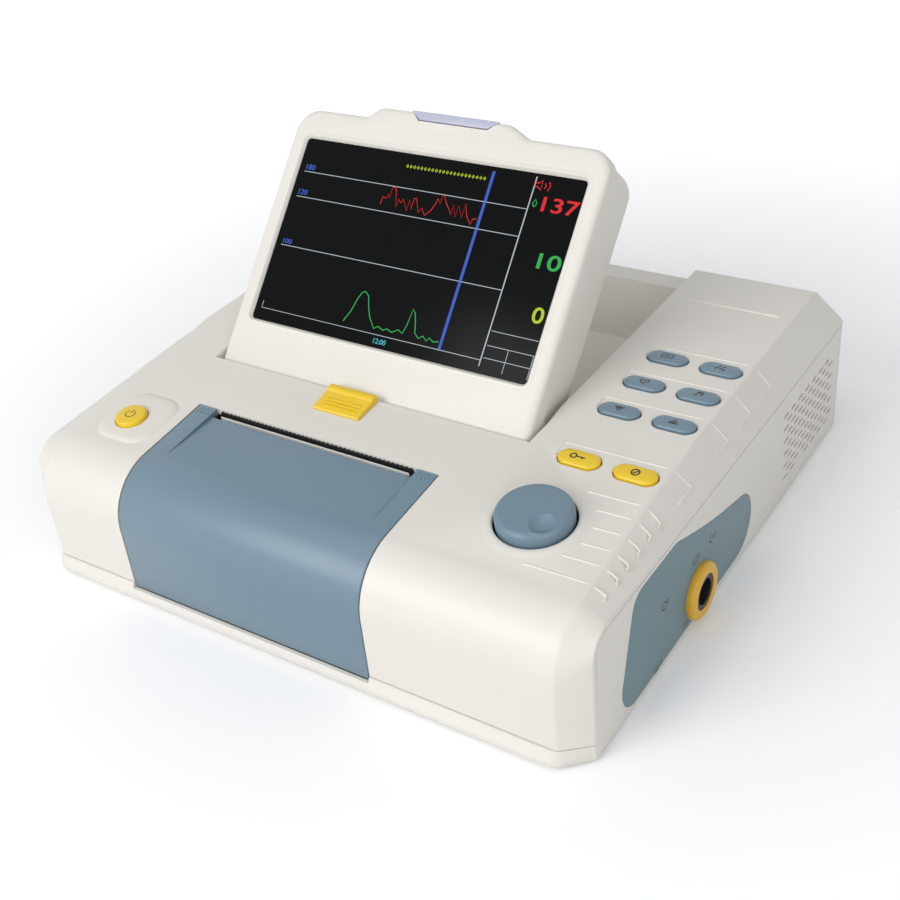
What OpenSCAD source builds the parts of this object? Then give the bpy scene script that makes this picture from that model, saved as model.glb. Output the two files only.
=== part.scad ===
// Fetal monitor with a flip-up display and a built-in strip printer.
// Millimetres. Z is up and the floor is at Z 0. The front, with the printer door, looks along -Y.
// The origin is on the floor, below the middle of the case.

/* [Case] */
// Width over the two side walls
case_w = 288; // [284:1:300]
// Depth over the front lip and the rear wall
case_d = 280; // [278:1:290]
// Height of the deck where the display is hinged
deck_h = 73.2; // [72:0.2:76]
// Fall of the front deck, in degrees
deck_fall = 6.5; // [5:0.5:7.5]
// Radius of the nose between deck and front face
nose_r = 26; // [22:1:30]
// Rise of the two consoles above the deck, at their rear edge
console_rise = 1.6; // [1:0.2:4]
// Step from the front deck up to the consoles
console_step = 1.6; // [1:0.2:2.4]
// How far the seam edge along the side walls lies below the deck
seam_drop = 13.2; // [12.2:0.5:15.2]
// Width of the bevel between deck and side wall
bevel_w = 11.5; // [9:0.5:13]
// How far the lower lip stands out in front of the nose
lip_out = 2.6; // [2:0.2:4]
// Height of the joint line between cover and case at the front
joint_z = 9; // [8:0.5:11]
// Thickness of the moulded shells
wall = 3; // [2.6:0.2:3.4]
// Height of the rubber feet below the case
foot_h = 1.5; // [1:0.25:2.5]
// Radius of the rubber feet
foot_r = 9; // [7:0.5:11]

/* [Display] */
// Width of the display
display_w = 170.4; // [166:0.2:173]
// Thickness of the display
display_t = 32; // [30:0.5:33]
// Depth of its front frame
frame_t = 10; // [8:0.5:12]
// Lean back from upright, in degrees
display_tilt = 41.8; // [30:0.2:50]
// Width of the picture
screen_w = 152.4; // [148:0.2:154]
// Height of the picture
screen_h = 91.4; // [88:0.2:94]
// Radius of the round lower edge about the hinge
barrel_r = 10.1; // [9.5:0.1:10.5]
// Frame above the picture
brow_h = 14.6; // [12:0.2:16]
// Extra height of the tab that holds the alarm light
tab_h = 5.5; // [4:0.5:7]
// Width of the tab at its top
tab_w = 74; // [70:1:84]
// Radius of the frame's upper corners
frame_r = 12; // [8:1:14]
// Radius of the hinge shafts
hinge_r = 3; // [2.5:0.25:3.25]

/* [Printer] */
// Width of the printer door
door_w = 131; // [129:1:134]
// Sideways place of the door's middle
door_x = -19.6; // [-22:0.2:-18]
// Thickness of the door's skin
door_t = 3; // [2.6:0.2:3.2]
// Width of each raised rail beside the paper exit
rail_w = 10; // [8:0.5:11]
// Depth of the panel between the rails
rail_step = 1.6; // [1:0.2:2]
// Length of the paper exit, front to back
exit_l = 4.4; // [4.2:0.2:5]
// Radius of the platen roller
platen_r = 7; // [6.5:0.1:7.2]
// Radius of the platen's steel shaft
platen_shaft_r = 2.5; // [2:0.1:2.8]
// Width of the paper
paper_w = 104; // [96:1:106]
// Thickness of a full paper pack
paper_stack = 24; // [10:1:26]
// Tooth size of the drive gears
gear_module = 0.8; // [0.76:0.02:0.84]

/* [Controls] */
// Length of a key
key_l = 19; // [17:0.5:20]
// Width of a key
key_w = 9; // [8:0.5:10]
// Spacing of the two key columns
key_dx = 25.3; // [24.5:0.1:26]
// Spacing of the key rows
key_dy = 23.8; // [22:0.2:25]
// Travel of a key
key_travel = 1; // [0.6:0.1:1.2]
// Radius of the knob
knob_r = 16; // [14:0.5:17]
// Height of the knob above the deck
knob_h = 6; // [5:0.5:8]
// Radius of the power button
power_r = 7.4; // [6.5:0.1:8]

/* [Side] */
// Outer radius of the yellow socket ring
ring_r = 13; // [12:0.5:13]
// How far the ring stands out from the side wall
ring_out = 3.5; // [2.5:0.5:5]
// Radius of the socket's hole
socket_r = 6; // [4:0.5:8]
// Depth of the socket's hole
socket_l = 16; // [12:1:18]

/* [Hidden] */
$fn = 64;

// Colours of the mouldings
white = "#e8e5df";
slate = "#6f8796";
yellow = "#efc91a";
black = "#1c1d1f";
steel = "#b8bcc0";
green = "#2f6b45";

// Running gap between a shaft and its bore
run_gap = 0.04;
// Gap between a moving piece and the edge of its opening
edge_gap = 0.6;
// Gap between two pieces that only lie near each other
lie_gap = 0.3;

// Levels and depths of the case
base_z = foot_h;
floor_z = base_z + wall;
front_y = -case_d / 2;
rear_y = case_d / 2;
nose_y = front_y + lip_out;
seam_y = nose_y + 9.4;
seam_r = 12;
seam_band = 2;
break_y = front_y + 100;
side_x = case_w / 2;
flat_x = side_x - bevel_w;
rear_side_y = rear_y - 9;
console_rear_y = rear_y - 17;
deck_rear_z = deck_h + 1.8;
console_h = deck_rear_z + console_rise;
seam_z = deck_h - seam_drop;
ramp_y = break_y + 12;
ramp_l = 12;
nose_cy = nose_y + nose_r;
nose_cz = deck_h - (nose_r + (break_y - nose_cy) * sin(deck_fall)) / cos(deck_fall);

// Height of the deck surface at a depth, in front of and behind its break
function front_deck_z(y) = deck_h + (y - break_y) * tan(deck_fall);
function rear_deck_z(y) = deck_h + (y - break_y) * (deck_rear_z - deck_h) / (console_rear_y - break_y);
function console_z(y) =
  rear_deck_z(ramp_y + ramp_l) + console_step
  + (y - ramp_y - ramp_l) * (console_h - rear_deck_z(ramp_y + ramp_l) - console_step)
    / (console_rear_y - ramp_y - ramp_l);

// Points of an arc about c
function arc(c, r, from, to, steps) =
  [for (i = [0:steps]) let (a = from + (to - from) * i / steps) [c[0] + r * cos(a), c[1] + r * sin(a)]];

// Side view of the case, moved inwards by t
function deck_outline(t) = concat(
  [[nose_y + t, base_z + t]],
  arc([nose_cy, nose_cz], nose_r - t, 180, 90 + deck_fall, 14),
  [[break_y, deck_h - t], [console_rear_y, deck_rear_z - t], [rear_y - t, seam_z - t], [rear_y - t, base_z + t]]
);
// Side view at the outer faces, where the bevel and the corner strips end
function seam_outline(t) = concat(
  [[seam_y + t, base_z + t]],
  arc([seam_y + seam_r, seam_z - seam_r], seam_r - t, 180, 90, 8),
  [[rear_side_y - t, seam_z - t], [rear_side_y - t, base_z + t]]
);

// Extrudes a side view, drawn as (Y, Z), from x0 to x1
module along_x(x0, x1) {
  translate([x0, 0, 0]) rotate([90, 0, 90]) linear_extrude(x1 - x0) children();
}
// Puts a piece on the front deck at x and y, with its local Z square to the surface
module on_deck(x, y) {
  translate([x, y, front_deck_z(y)]) rotate([deck_fall, 0, 0]) children();
}
// A flat slot shape, l long over its round ends
module stadium(l, w) {
  square([l - w, w], center = true);
  for (s = [-1, 1]) translate([s * (l - w) / 2, 0]) circle(d = w);
}
module round_plate(x, y, r) {
  square([x - 2 * r, y], center = true);
  square([x, y - 2 * r], center = true);
  for (sx = [-1, 1], sy = [-1, 1]) translate([sx * (x / 2 - r), sy * (y / 2 - r)]) circle(r);
}

// Whole case as one block, moved inwards by t
module case_block(t) {
  hull() {
    along_x(-flat_x + t / 2, flat_x - t / 2) polygon(deck_outline(t));
    along_x(-side_x + t, side_x - t) polygon(seam_outline(t));
  }
}
// Raised rear part that carries the two consoles
module console_block() {
  hull() {
    along_x(-flat_x, flat_x) polygon([
      [ramp_y, base_z], [ramp_y, rear_deck_z(ramp_y)],
      [ramp_y + ramp_l, console_z(ramp_y + ramp_l)],
      [console_rear_y, console_h], [rear_y, seam_z], [rear_y, base_z]
    ]);
    along_x(-side_x, side_x) polygon([
      [ramp_y, base_z], [ramp_y, seam_z], [rear_side_y, seam_z], [rear_side_y, base_z]
    ]);
  }
}
// Space of the bottom case: all below the seam, which turns down at the front corners
module below_seam() {
  far = rear_y + 5;
  along_x(-case_w, case_w) {
    polygon(concat(
      [[seam_y + seam_band, -5]],
      arc([seam_y + seam_r, seam_z - seam_r], seam_r - seam_band, 180, 90, 8),
      [[far, seam_z - seam_band], [far, -5]]
    ));
    translate([front_y - 5, -5]) square([far - front_y, joint_z + 5]);
  }
}

// Display hinge, which lies below the deck
hinge_drop = 7.2;
hinge_z = deck_h - hinge_drop;
hinge_y = break_y + 7.7;
recess_gap = 2;
display_x = side_x / 4 - 53;
recess_x0 = display_x - display_w / 2 - recess_gap;
recess_x1 = display_x + display_w / 2 + recess_gap;
shaft_share = 0.36;
shaft_out = recess_gap + wall + shaft_share * (recess_x0 - wall + flat_x);
display_back_y = display_t - barrel_r;
screen_z = 20.7;
frame_top_z = screen_z + screen_h + brow_h;
tab_top_z = frame_top_z + tab_h;
tab_x = -4.2;
recess_floor_z = hinge_z - display_back_y - 2;
recess_end_y = hinge_y + tab_top_z + 1.5;
recess_rear_z = seam_z + 4;
barrel_gap = 0.5;

// Side view of the recess below the display, its walls moved outwards by t
module recess_outline(t) {
  top = console_h + 20;
  front = hinge_y - barrel_r - barrel_gap;
  translate([hinge_y, hinge_z]) circle(barrel_r + barrel_gap + t);
  polygon([
    [hinge_y, top], [hinge_y, hinge_z], [front - t, hinge_z],
    [front - t, recess_floor_z + 8], [front + 6 - t / 2, recess_floor_z - t],
    [recess_end_y + t / 2, recess_floor_z - t], [console_rear_y + t / 2, recess_rear_z - t],
    [rear_y + 20, recess_rear_z - t], [rear_y + 20, top]
  ]);
}
// The same, filled up to just below the deck: the block that the recess is hollowed from
module recess_tub() {
  intersection() {
    recess_outline(wall);
    polygon(deck_outline(0.4));
  }
}

// Printer door and its hinge near the lip
door_x0 = door_x - door_w / 2;
door_x1 = door_x + door_w / 2;
door_open_x0 = door_x0 - edge_gap;
door_open_x1 = door_x1 + edge_gap;
pivot_y = nose_y + 6.4;
pivot_z = base_z + 9;
door_low_z = base_z + 5.1;
exit_y = front_y + 64.4;
pin_r = 1.5;
ear_r = 3.2;
ear_w = 5;
sweep_r = norm([pivot_y - nose_y, pivot_z - door_low_z]) + 0.25;

// Platen roller on the door and the paper path behind it
web_t = 0.15;
web_y = exit_y - exit_l / 2;
platen_y = web_y - web_t / 2 - 0.05 - platen_r;
platen_z = front_deck_z(platen_y) - 10.4;
head_y = web_y + web_t / 2 + 0.05;
platen_l = paper_w + 2;
gear_teeth = 16;
pinion_teeth = 8;
gear_x = door_x + platen_l / 2 + 2;
gear_w = 3.2;
gear_distance = gear_module * (gear_teeth + pinion_teeth) / 2;
mesh_angle = -22.5;
pinion_y = platen_y + gear_distance * cos(mesh_angle);
pinion_z = platen_z + gear_distance * sin(mesh_angle);
motor_shaft_r = 1;
cheek_t = 2.5;
cheek_in = 1;
tray_wall = 2;
tray_rear_y = break_y - 8;
bush_r = 3.6;

// Keys
key_x1 = flat_x - key_dx - 12;
key_y1 = 37.8;
key_yellow_y = break_y - 5.7;
key_rise = 1.4;
key_gap = 0.35;
key_flange = 1.2;
mat_z = deck_h - 8.6;
mat_t = 1.5;
board_t = 1.6;
plunger_gap = key_travel + 0.2;
post_r = 2.4;
plunger_z = mat_z + mat_t + plunger_gap;
post_ys = [key_y1 + 12, key_yellow_y - 9];

// Knob and power button places
knob_x = flat_x - 36.1;
knob_y = front_y + 56;
knob_gap = 1;
knob_well = 4;
knob_shaft_r = 3;
encoder_w = 14;
power_x = (door_x0 - side_x) / 2 + 5.85;
power_y = front_y + 42.8;
power_travel = 1;
pad_h = 1.2;

// Yellow latch behind the paper exit
latch_y = break_y - 11.2;
latch_w = 25;
latch_l = 16;
latch_travel = 3;
latch_stem_w = 7.8;
latch_stem_l = 5.8;
latch_arm_w = 2.5;
latch_arm_x = gear_x - door_x + gear_w + 0.6;

// Connector panel and socket in the right side wall
panel_t = 1.6;
socket_y = front_y + 104;
socket_z = base_z + 14;

// Speaker slits in the right side wall
grille_y = rear_y - 49;
grille_z = base_z + 27;

// Mains inlet in the rear wall
inlet_x = -side_x + 32;
inlet_z = base_z + 26.5;

// Battery under the display recess
battery_x = recess_x0 + 48.2;
battery_y = 60;
battery_l = 96;
battery_w = 64;

// Rounded field of the connector panel, as (Y, Z), grown by g
module panel_shape(g) {
  hull() {
    translate([front_y + 52, seam_z - 13.5]) circle(r = 9 + g, $fn = 32);
    translate([front_y + 46, base_z + 13.5]) circle(r = 12 + g, $fn = 32);
    translate([front_y + 80, seam_z - 14]) circle(r = 9.5 + g, $fn = 32);
    translate([front_y + 144, base_z + 18]) circle(r = 16 + g, $fn = 32);
  }
}

// Lip around the foot of the front, which runs out along the corner strips
module lip() {
  lip_h = 3.1;
  hull() {
    translate([0, 0, base_z]) linear_extrude(lip_h) lip_outline(lip_out);
    translate([0, 0, joint_z - 0.2]) linear_extrude(0.2) lip_outline(0.6);
  }
}
module lip_outline(out) {
  polygon([
    [-side_x, seam_y], [-flat_x, nose_y - out], [flat_x, nose_y - out], [side_x, seam_y],
    [side_x, seam_y + 2], [-side_x, seam_y + 2]
  ]);
}

// Places of the screw bosses, well inside the corners
module at_screws() {
  for (sx = [-1, 1]) {
    translate([sx * (side_x - 12), seam_y + 12, 0]) children();
    translate([sx * (side_x - 12), rear_side_y - 12, 0]) children();
  }
}
module at_feet() {
  for (sx = [-1, 1], y = [seam_y + 30, rear_side_y - 32]) translate([sx * (side_x - 24), y, 0]) children();
}

boss_r = 5;
screw_r = 1.5;
screw_head_r = 3;
screw_top_z = seam_z - 24;

module bottom_case() {
  color(white) difference() {
    union() {
      difference() {
        union() {
          intersection() {
            case_block(0);
            below_seam();
          }
          lip();
        }
        case_block(wall);
      }
      at_screws() translate([0, 0, base_z]) cylinder(r = boss_r, h = screw_top_z - base_z);
      // Ears that hold the door's hinge pins
      for (x = [door_open_x0 - ear_w, door_open_x1]) {
        along_x(x, x + ear_w) {
          translate([pivot_y, pivot_z]) circle(ear_r);
          translate([pivot_y - ear_r, floor_z - 0.5]) square([2 * ear_r, pivot_z - floor_z + 0.5]);
        }
      }
      // Posts below the main board
      for (x = [board_x0 + 4, board_x1 - 4], y = [board_y0 + 4, board_y1 - 4])
        translate([x, y, base_z]) cylinder(r = 3, h = board_z - base_z);
      // Frame behind the connector panel's recess
      along_x(side_x - wall - 2, side_x - wall + 0.5) intersection() {
        panel_shape(2.5);
        translate([seam_y + 4, floor_z - 0.5]) square([rear_side_y - seam_y, seam_z - seam_band - floor_z]);
      }
    }
    // Room for the door's lower edge as it swings
    translate([door_open_x0, pivot_y - sweep_r, pivot_z - sweep_r])
      cube([door_open_x1 - door_open_x0, 2 * sweep_r, joint_z + sweep_r]);
    for (x = [door_open_x0 - ear_w, door_open_x1])
      translate([x - 1, pivot_y, pivot_z]) rotate([0, 90, 0]) cylinder(r = pin_r, h = ear_w + 2);
    // Recess of the connector panel and the hole behind it
    along_x(side_x - panel_t, side_x + 1) panel_shape(0.15);
    translate([side_x - 20, socket_y, socket_z]) rotate([0, 90, 0]) cylinder(r = socket_r + 2.2, h = 30);
    speaker_slits();
    // Mains inlet opening
    translate([inlet_x - 14, rear_y - 10, inlet_z - 10]) cube([28, 20, 20]);
    // Battery opening with a ledge for its door
    translate([battery_x, battery_y, base_z - 1]) linear_extrude(wall + 2)
      round_plate(battery_l, battery_w, 4);
    translate([battery_x, battery_y, base_z - 1]) linear_extrude(3.05)
      round_plate(battery_l + 6.4, battery_w + 6.4, 6);
    at_feet() cylinder(r = foot_r + 0.1, h = base_z + 1);
    at_screws() {
      cylinder(r = screw_r, h = screw_top_z + 1);
      cylinder(r = screw_head_r + 0.2, h = base_z + 6);
    }
  }
}

module speaker_slits() {
  slit_w = 1.4;
  slit_h = 4.6;
  dy = 5;
  dz = 6;
  for (i = [0:12], j = [0:3])
    translate([side_x - 10, grille_y - 30 + i * dy + (j - 1.5) * 1.6, grille_z + (j - 1.5) * dz])
      rotate([90, 0, 90]) linear_extrude(20) rotate(-15) stadium_up(slit_h, slit_w);
}
module stadium_up(l, w) {
  rotate(90) stadium(l, w);
}

board_z = floor_z + 6.5;
board_x0 = battery_x + battery_l / 2 + 6;
board_x1 = recess_x1 - 4.2;
board_y0 = break_y + 14;
board_y1 = rear_y - 28;

module top_cover() {
  color(white) difference() {
    union() {
      difference() {
        union() {
          case_block(0);
          console_block();
        }
        case_block(wall);
        below_seam();
      }
      along_x(recess_x0 - wall, recess_x1 + wall) recess_tub();
      cover_pads();
      key_posts();
    }
    along_x(recess_x0, recess_x1) recess_outline(0);
    // Opening of the printer door
    along_x(door_open_x0, door_open_x1) translate([front_y - 5, 0]) square([exit_y - front_y + 5, console_h]);
    cover_holes();
    // Holes for the display's hinge shafts
    translate([recess_x0 - wall - 1, hinge_y, hinge_z]) rotate([0, 90, 0])
      cylinder(r = hinge_r + 0.5, h = recess_x1 - recess_x0 + 2 * wall + 2);
  }
}

// Raised pads around the knob and the power button, and the ribs beside the knob
module cover_pads() {
  on_deck(knob_x, knob_y) {
    cylinder(r1 = knob_r + 5, r2 = knob_r + 3, h = 0.9);
    translate([0, 0, -knob_well - 2.4]) cylinder(r = knob_r + 3.2, h = knob_well + 2.4);
  }
  on_deck(power_x, power_y) {
    translate([2, 2, -wall]) power_pad();
  }
}
module power_pad() {
  hull() {
    linear_extrude(wall - 0.5) round_plate(31, 34, 8);
    linear_extrude(wall + pad_h) round_plate(26, 28, 7);
  }
}

module at_posts() {
  for (x = [key_board_x0 + 0.4, key_x1 + key_dx + 10], y = post_ys)
    translate([x, y, mat_z]) children();
}
module key_posts() {
  at_posts() cylinder(r = post_r, h = front_deck_z(post_ys[1]) - wall - mat_z + 0.6);
  intersection() {
    at_posts() cylinder(r = post_r, h = rear_deck_z(post_ys[0]) - wall - mat_z + 0.6);
    translate([0, break_y, 0]) cube([side_x, rear_y, console_h]);
  }
}

module at_keys() {
  for (row = [0:2], col = [0:1])
    translate([key_x1 + col * key_dx, key_y1 - row * key_dy, 0]) children();
}

module cover_holes() {
  at_keys() translate([0, 0, deck_h - 20]) linear_extrude(40) stadium(key_l + 2 * key_gap, key_w + 2 * key_gap);
  for (col = [0:1]) on_deck(key_x1 + col * key_dx, key_yellow_y) translate([0, 0, -20])
    linear_extrude(40) stadium(key_l + 2 * key_gap, key_w + 2 * key_gap);
  // Bare recessed field at the rear of the right console
  field_x = key_x1 + 8.4;
  field_y = key_y1 + 44.6;
  translate([field_x, field_y, console_z(field_y) - 0.7]) rotate([0.5, 0, 0])
    linear_extrude(5) round_plate(44.4, 22, 1);
  on_deck(knob_x, knob_y) {
    translate([0, 0, -knob_well]) cylinder(r = knob_r + knob_gap, h = knob_well + 5);
    translate([0, 0, -20]) cylinder(r = encoder_bush_r + 0.1, h = 40);
  }
  on_deck(power_x, power_y) translate([0, 0, -20]) cylinder(r = power_r + 0.3, h = 40);
  on_deck(door_x, latch_y) translate([-latch_stem_w / 2 - lie_gap, -4.9 - lie_gap, -20])
    cube([latch_stem_w + 2 * lie_gap, latch_stem_l + 2 * lie_gap + latch_travel, 40]);
}

module connector_panel() {
  color(slate) difference() {
    along_x(side_x - panel_t, side_x + 0.2) panel_shape(0);
    translate([side_x - 20, socket_y, socket_z]) rotate([0, 90, 0]) cylinder(r = socket_r + 2.3, h = 30);
  }
}

// Round yellow ring around the socket, with a rounded outer rim
module socket_ring() {
  rim = 1.6;
  color(yellow) translate([side_x + 0.2, socket_y, socket_z]) rotate([0, 90, 0]) rotate_extrude() {
    translate([socket_r + 2.2, 0]) square([ring_r - socket_r - 2.2, ring_out - 0.2 - rim]);
    translate([socket_r + 2.2, 0]) square([ring_r - socket_r - 2.2 - rim, ring_out - 0.2]);
    translate([ring_r - rim, ring_out - 0.2 - rim]) circle(rim);
  }
}

module socket_insert() {
  color(black) translate([side_x + ring_out - 0.6 - socket_l, socket_y, socket_z]) rotate([0, 90, 0]) difference() {
    translate([0, 0, -2]) cylinder(r = socket_r + 2.2, h = socket_l + 2);
    cylinder(r = socket_r, h = socket_l + 1);
  }
}

// Door: curved skin, two end cheeks with the hinge and platen bores
module printer_door() {
  color(slate) difference() {
    union() {
      along_x(door_x0, door_x1) intersection() {
        difference() {
          polygon(deck_outline(0));
          polygon(deck_outline(door_t));
        }
        translate([front_y, door_low_z]) square([exit_y - edge_gap - front_y, console_h]);
      }
      for (x = [door_x0 + cheek_in, door_x1 - cheek_in - cheek_t]) along_x(x, x + cheek_t) door_cheek();
      for (x = [door_x0, door_x1 - cheek_in - cheek_t]) along_x(x, x + cheek_in + cheek_t)
        translate([pivot_y, pivot_z]) circle(ear_r + 0.8);
    }
    // Lower panel between the rails, which runs out at the nose
    along_x(door_x0 + rail_w, door_x1 - rail_w) polygon([
      [exit_y - exit_l, console_h], [exit_y - exit_l, front_deck_z(exit_y - exit_l) - rail_step],
      [nose_cy + 1, front_deck_z(nose_cy + 1)], [nose_cy + 1, console_h]
    ]);
    along_x(door_x0 + rail_w, door_x1 - rail_w) translate([exit_y - exit_l, platen_z]) square([20, 20]);
    translate([door_x0 - 1, pivot_y, pivot_z]) rotate([0, 90, 0])
      cylinder(r = pin_r + run_gap, h = door_w + 2);
    translate([door_x0 - 1, platen_y, platen_z]) rotate([0, 90, 0]) cylinder(r = bush_r, h = door_w + 2);
  }
}
// End plate of the door, from the hinge up to the platen
module door_cheek() {
  intersection() {
    polygon(deck_outline(0.5));
    union() {
      polygon([
        [pivot_y - 6, pivot_z], [pivot_y + 3.5, pivot_z - 1.5], [pivot_y + 14, pivot_z + 14],
        [platen_y + 5, platen_z - 5.5], [platen_y + 5, platen_z + 10.5], [nose_y, platen_z + 10]
      ]);
      translate([pivot_y, pivot_z]) circle(ear_r + 0.8);
    }
  }
}

module door_pins() {
  pin_l = ear_w + edge_gap + cheek_in + cheek_t;
  color(steel) {
    translate([door_open_x0 - ear_w, pivot_y, pivot_z]) rotate([0, 90, 0]) cylinder(r = pin_r, h = pin_l);
    translate([door_open_x1 + ear_w - pin_l, pivot_y, pivot_z]) rotate([0, 90, 0]) cylinder(r = pin_r, h = pin_l);
  }
}

module platen_roller() {
  color(black) translate([door_x - platen_l / 2, platen_y, platen_z]) rotate([0, 90, 0]) difference() {
    cylinder(r = platen_r, h = platen_l);
    translate([0, 0, -1]) cylinder(r = platen_shaft_r, h = platen_l + 2);
  }
}
module platen_shaft() {
  shaft_l = door_w - 2 * cheek_in;
  color(steel) translate([door_x - shaft_l / 2, platen_y, platen_z]) rotate([0, 90, 0])
    cylinder(r = platen_shaft_r, h = shaft_l);
}
module platen_bushes() {
  color(yellow) for (x = [door_x0 + cheek_in, door_x1 - cheek_in - cheek_t])
    translate([x, platen_y, platen_z]) rotate([0, 90, 0]) difference() {
      cylinder(r = bush_r, h = cheek_t);
      translate([0, 0, -1]) cylinder(r = platen_shaft_r + run_gap, h = cheek_t + 2);
    }
}

// Spur gear drawn in the side view, with straight-flanked teeth and a little play
module gear_shape(teeth) {
  pitch_r = gear_module * teeth / 2;
  root_r = pitch_r - 1.15 * gear_module;
  tip_r = pitch_r + 0.85 * gear_module;
  root_half = 0.95 * gear_module;
  tip_half = 0.36 * gear_module;
  circle(root_r);
  for (i = [0:teeth - 1]) rotate(i * 360 / teeth) polygon([
    [root_r - 0.3, -root_half], [tip_r, -tip_half], [tip_r, tip_half], [root_r - 0.3, root_half]
  ]);
}
module platen_gear() {
  color(white) along_x(gear_x, gear_x + gear_w) translate([platen_y, platen_z]) difference() {
    rotate(mesh_angle) gear_shape(gear_teeth);
    circle(platen_shaft_r);
  }
}
module motor_pinion() {
  color("#c9a24a") along_x(gear_x - 0.4, gear_x + gear_w + 0.4) translate([pinion_y, pinion_z]) difference() {
    rotate(mesh_angle + 180 + 180 / pinion_teeth) gear_shape(pinion_teeth);
    circle(motor_shaft_r);
  }
  color(steel) translate([gear_x - 0.4, pinion_y, pinion_z]) rotate([0, 90, 0])
    cylinder(r = motor_shaft_r, h = tray_x1 + motor_l / 2 - gear_x);
}
tray_x1 = door_open_x1 + tray_wall;
motor_l = 14;
motor_r = 10;
module feed_motor() {
  color(steel) translate([tray_x1, pinion_y, pinion_z]) rotate([0, 90, 0]) difference() {
    union() {
      cylinder(r = motor_r, h = motor_l);
      for (s = [-1, 1]) translate([0, s * (motor_r + 3), 0]) cylinder(r = 3.5, h = 1.2);
      translate([-3.5, -motor_r - 3, 0]) cube([7, 2 * motor_r + 6, 1.2]);
    }
    translate([0, 0, -1]) cylinder(r = motor_shaft_r + run_gap, h = motor_l / 2 + 2);
  }
}

// Tray behind the door: floor, two side walls and a rear wall
module paper_tray() {
  color("#8a9096") difference() {
    union() {
      for (x = [door_open_x0 - tray_wall, door_open_x1]) along_x(x, x + tray_wall) intersection() {
        polygon(deck_outline(wall + lie_gap));
        translate([pivot_y + ear_r + 0.5, floor_z]) square([tray_rear_y - pivot_y - ear_r - 0.5, console_h]);
      }
      translate([door_open_x0 - tray_wall, tray_rear_y - tray_wall, floor_z])
        cube([door_open_x1 - door_open_x0 + 2 * tray_wall, tray_wall, seam_z - floor_z - 2]);
      translate([door_open_x0, pivot_y + sweep_r + 1, floor_z])
        cube([door_open_x1 - door_open_x0, tray_rear_y - pivot_y - sweep_r - 1.5, tray_wall]);
    }
    translate([door_open_x1 - 1, pinion_y, pinion_z]) rotate([0, 90, 0])
      cylinder(r = motor_shaft_r + 1, h = tray_wall + 2);
  }
}

pack_z = floor_z + tray_wall;
pack_y0 = pivot_y + 10;
pack_y1 = tray_rear_y - tray_wall - 1;
module paper_pack() {
  folds = 6;
  fold_h = paper_stack / folds;
  color("#f4f4f0") along_x(door_x - paper_w / 2, door_x + paper_w / 2) for (i = [0:folds - 1])
    translate([pack_y0, pack_z + i * fold_h]) polygon([
      [0.4, 0], [pack_y1 - pack_y0 - 0.4, 0], [pack_y1 - pack_y0, fold_h / 2],
      [pack_y1 - pack_y0 - 0.4, fold_h], [0.4, fold_h], [0, fold_h / 2]
    ]);
}
// Leading sheet, from the pack up between platen and head to the exit
module paper_web() {
  web_top = front_deck_z(web_y) - 1.9;
  bend_z = platen_z - 12;
  pack_top = pack_z + paper_stack;
  color("#f4f4f0") along_x(door_x - paper_w / 2, door_x + paper_w / 2) polygon([
    [web_y - web_t / 2, web_top], [web_y - web_t / 2, bend_z], [web_y + 11.8, pack_top],
    [web_y + 12.1, pack_top], [web_y + web_t / 2, bend_z], [web_y + web_t / 2, web_top]
  ]);
}

head_w = paper_w + 4;
module print_head() {
  color("#d9d3c4") translate([door_x - head_w / 2, head_y, platen_z - 9]) cube([head_w, 1, 14]);
  color(steel) translate([door_x - head_w / 2, head_y + 1, platen_z - 9]) cube([head_w, 5, 14]);
}
module head_bracket() {
  back_y = head_y + 6;
  color(steel) {
    translate([door_x - head_w / 2, back_y, platen_z - 14]) cube([head_w, 1.5, 18]);
    translate([door_open_x0, back_y, platen_z - 14]) cube([door_open_x1 - door_open_x0, 1.5, 10]);
    for (x = [door_open_x0, door_open_x1 - 1.5])
      translate([x, back_y, platen_z - 14]) cube([1.5, 10, 10]);
  }
}
// Black tear bar: a saw-toothed blade before the rear wall of the paper exit, on a flange below the cover
module tear_bar() {
  teeth = 46;
  pitch = platen_l / teeth;
  blade_top = -1.1;
  blade_y = -1.1;
  color(black) on_deck(door_x, exit_y) {
    translate([-platen_l / 2, blade_y, -wall - 0.9]) cube([platen_l, 6, 0.7]);
    translate([0, blade_y + 0.7, 0]) rotate([90, 0, 0]) linear_extrude(0.7) polygon(concat(
      [[-platen_l / 2, -wall - 0.5]],
      [for (i = [0:teeth - 1]) each [
        [-platen_l / 2 + i * pitch, blade_top], [-platen_l / 2 + (i + 0.5) * pitch, blade_top + 0.7]
      ]],
      [[platen_l / 2, blade_top], [platen_l / 2, -wall - 0.5]]
    ));
  }
}

module latch_button() {
  color(yellow) on_deck(door_x, latch_y) {
    rotate([90, 0, 90]) translate([0, 0, -latch_w / 2]) linear_extrude(latch_w) polygon([
      [-latch_l / 2, 0.15], [latch_l / 2, 0.15], [latch_l / 2, 2.6], [latch_l / 2 - 1, 3.6],
      [latch_l / 2 - 3.4, 3.6], [latch_l / 2 - 4.6, 2.4], [-latch_l / 2 + 1, 1.6], [-latch_l / 2, 0.9]
    ]);
    translate([-latch_stem_w / 2, -4.9, -wall - 1.2]) cube([latch_stem_w, latch_stem_l, wall + 2]);
  }
}
// Cross bar below the deck that carries the latch to both ends of the platen
module latch_bar() {
  bar_z = -wall - 4.2;
  arm_l = latch_y - platen_y - 4;
  color("#8a9096") on_deck(door_x, latch_y) {
    translate([-latch_arm_x - latch_arm_w, -6.5, bar_z]) cube([2 * (latch_arm_x + latch_arm_w), 7.5, 3]);
    for (s = [-1, 1]) translate([s * (latch_arm_x + latch_arm_w / 2) - latch_arm_w / 2, -arm_l, bar_z])
      cube([latch_arm_w, arm_l, 3]);
  }
}

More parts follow.
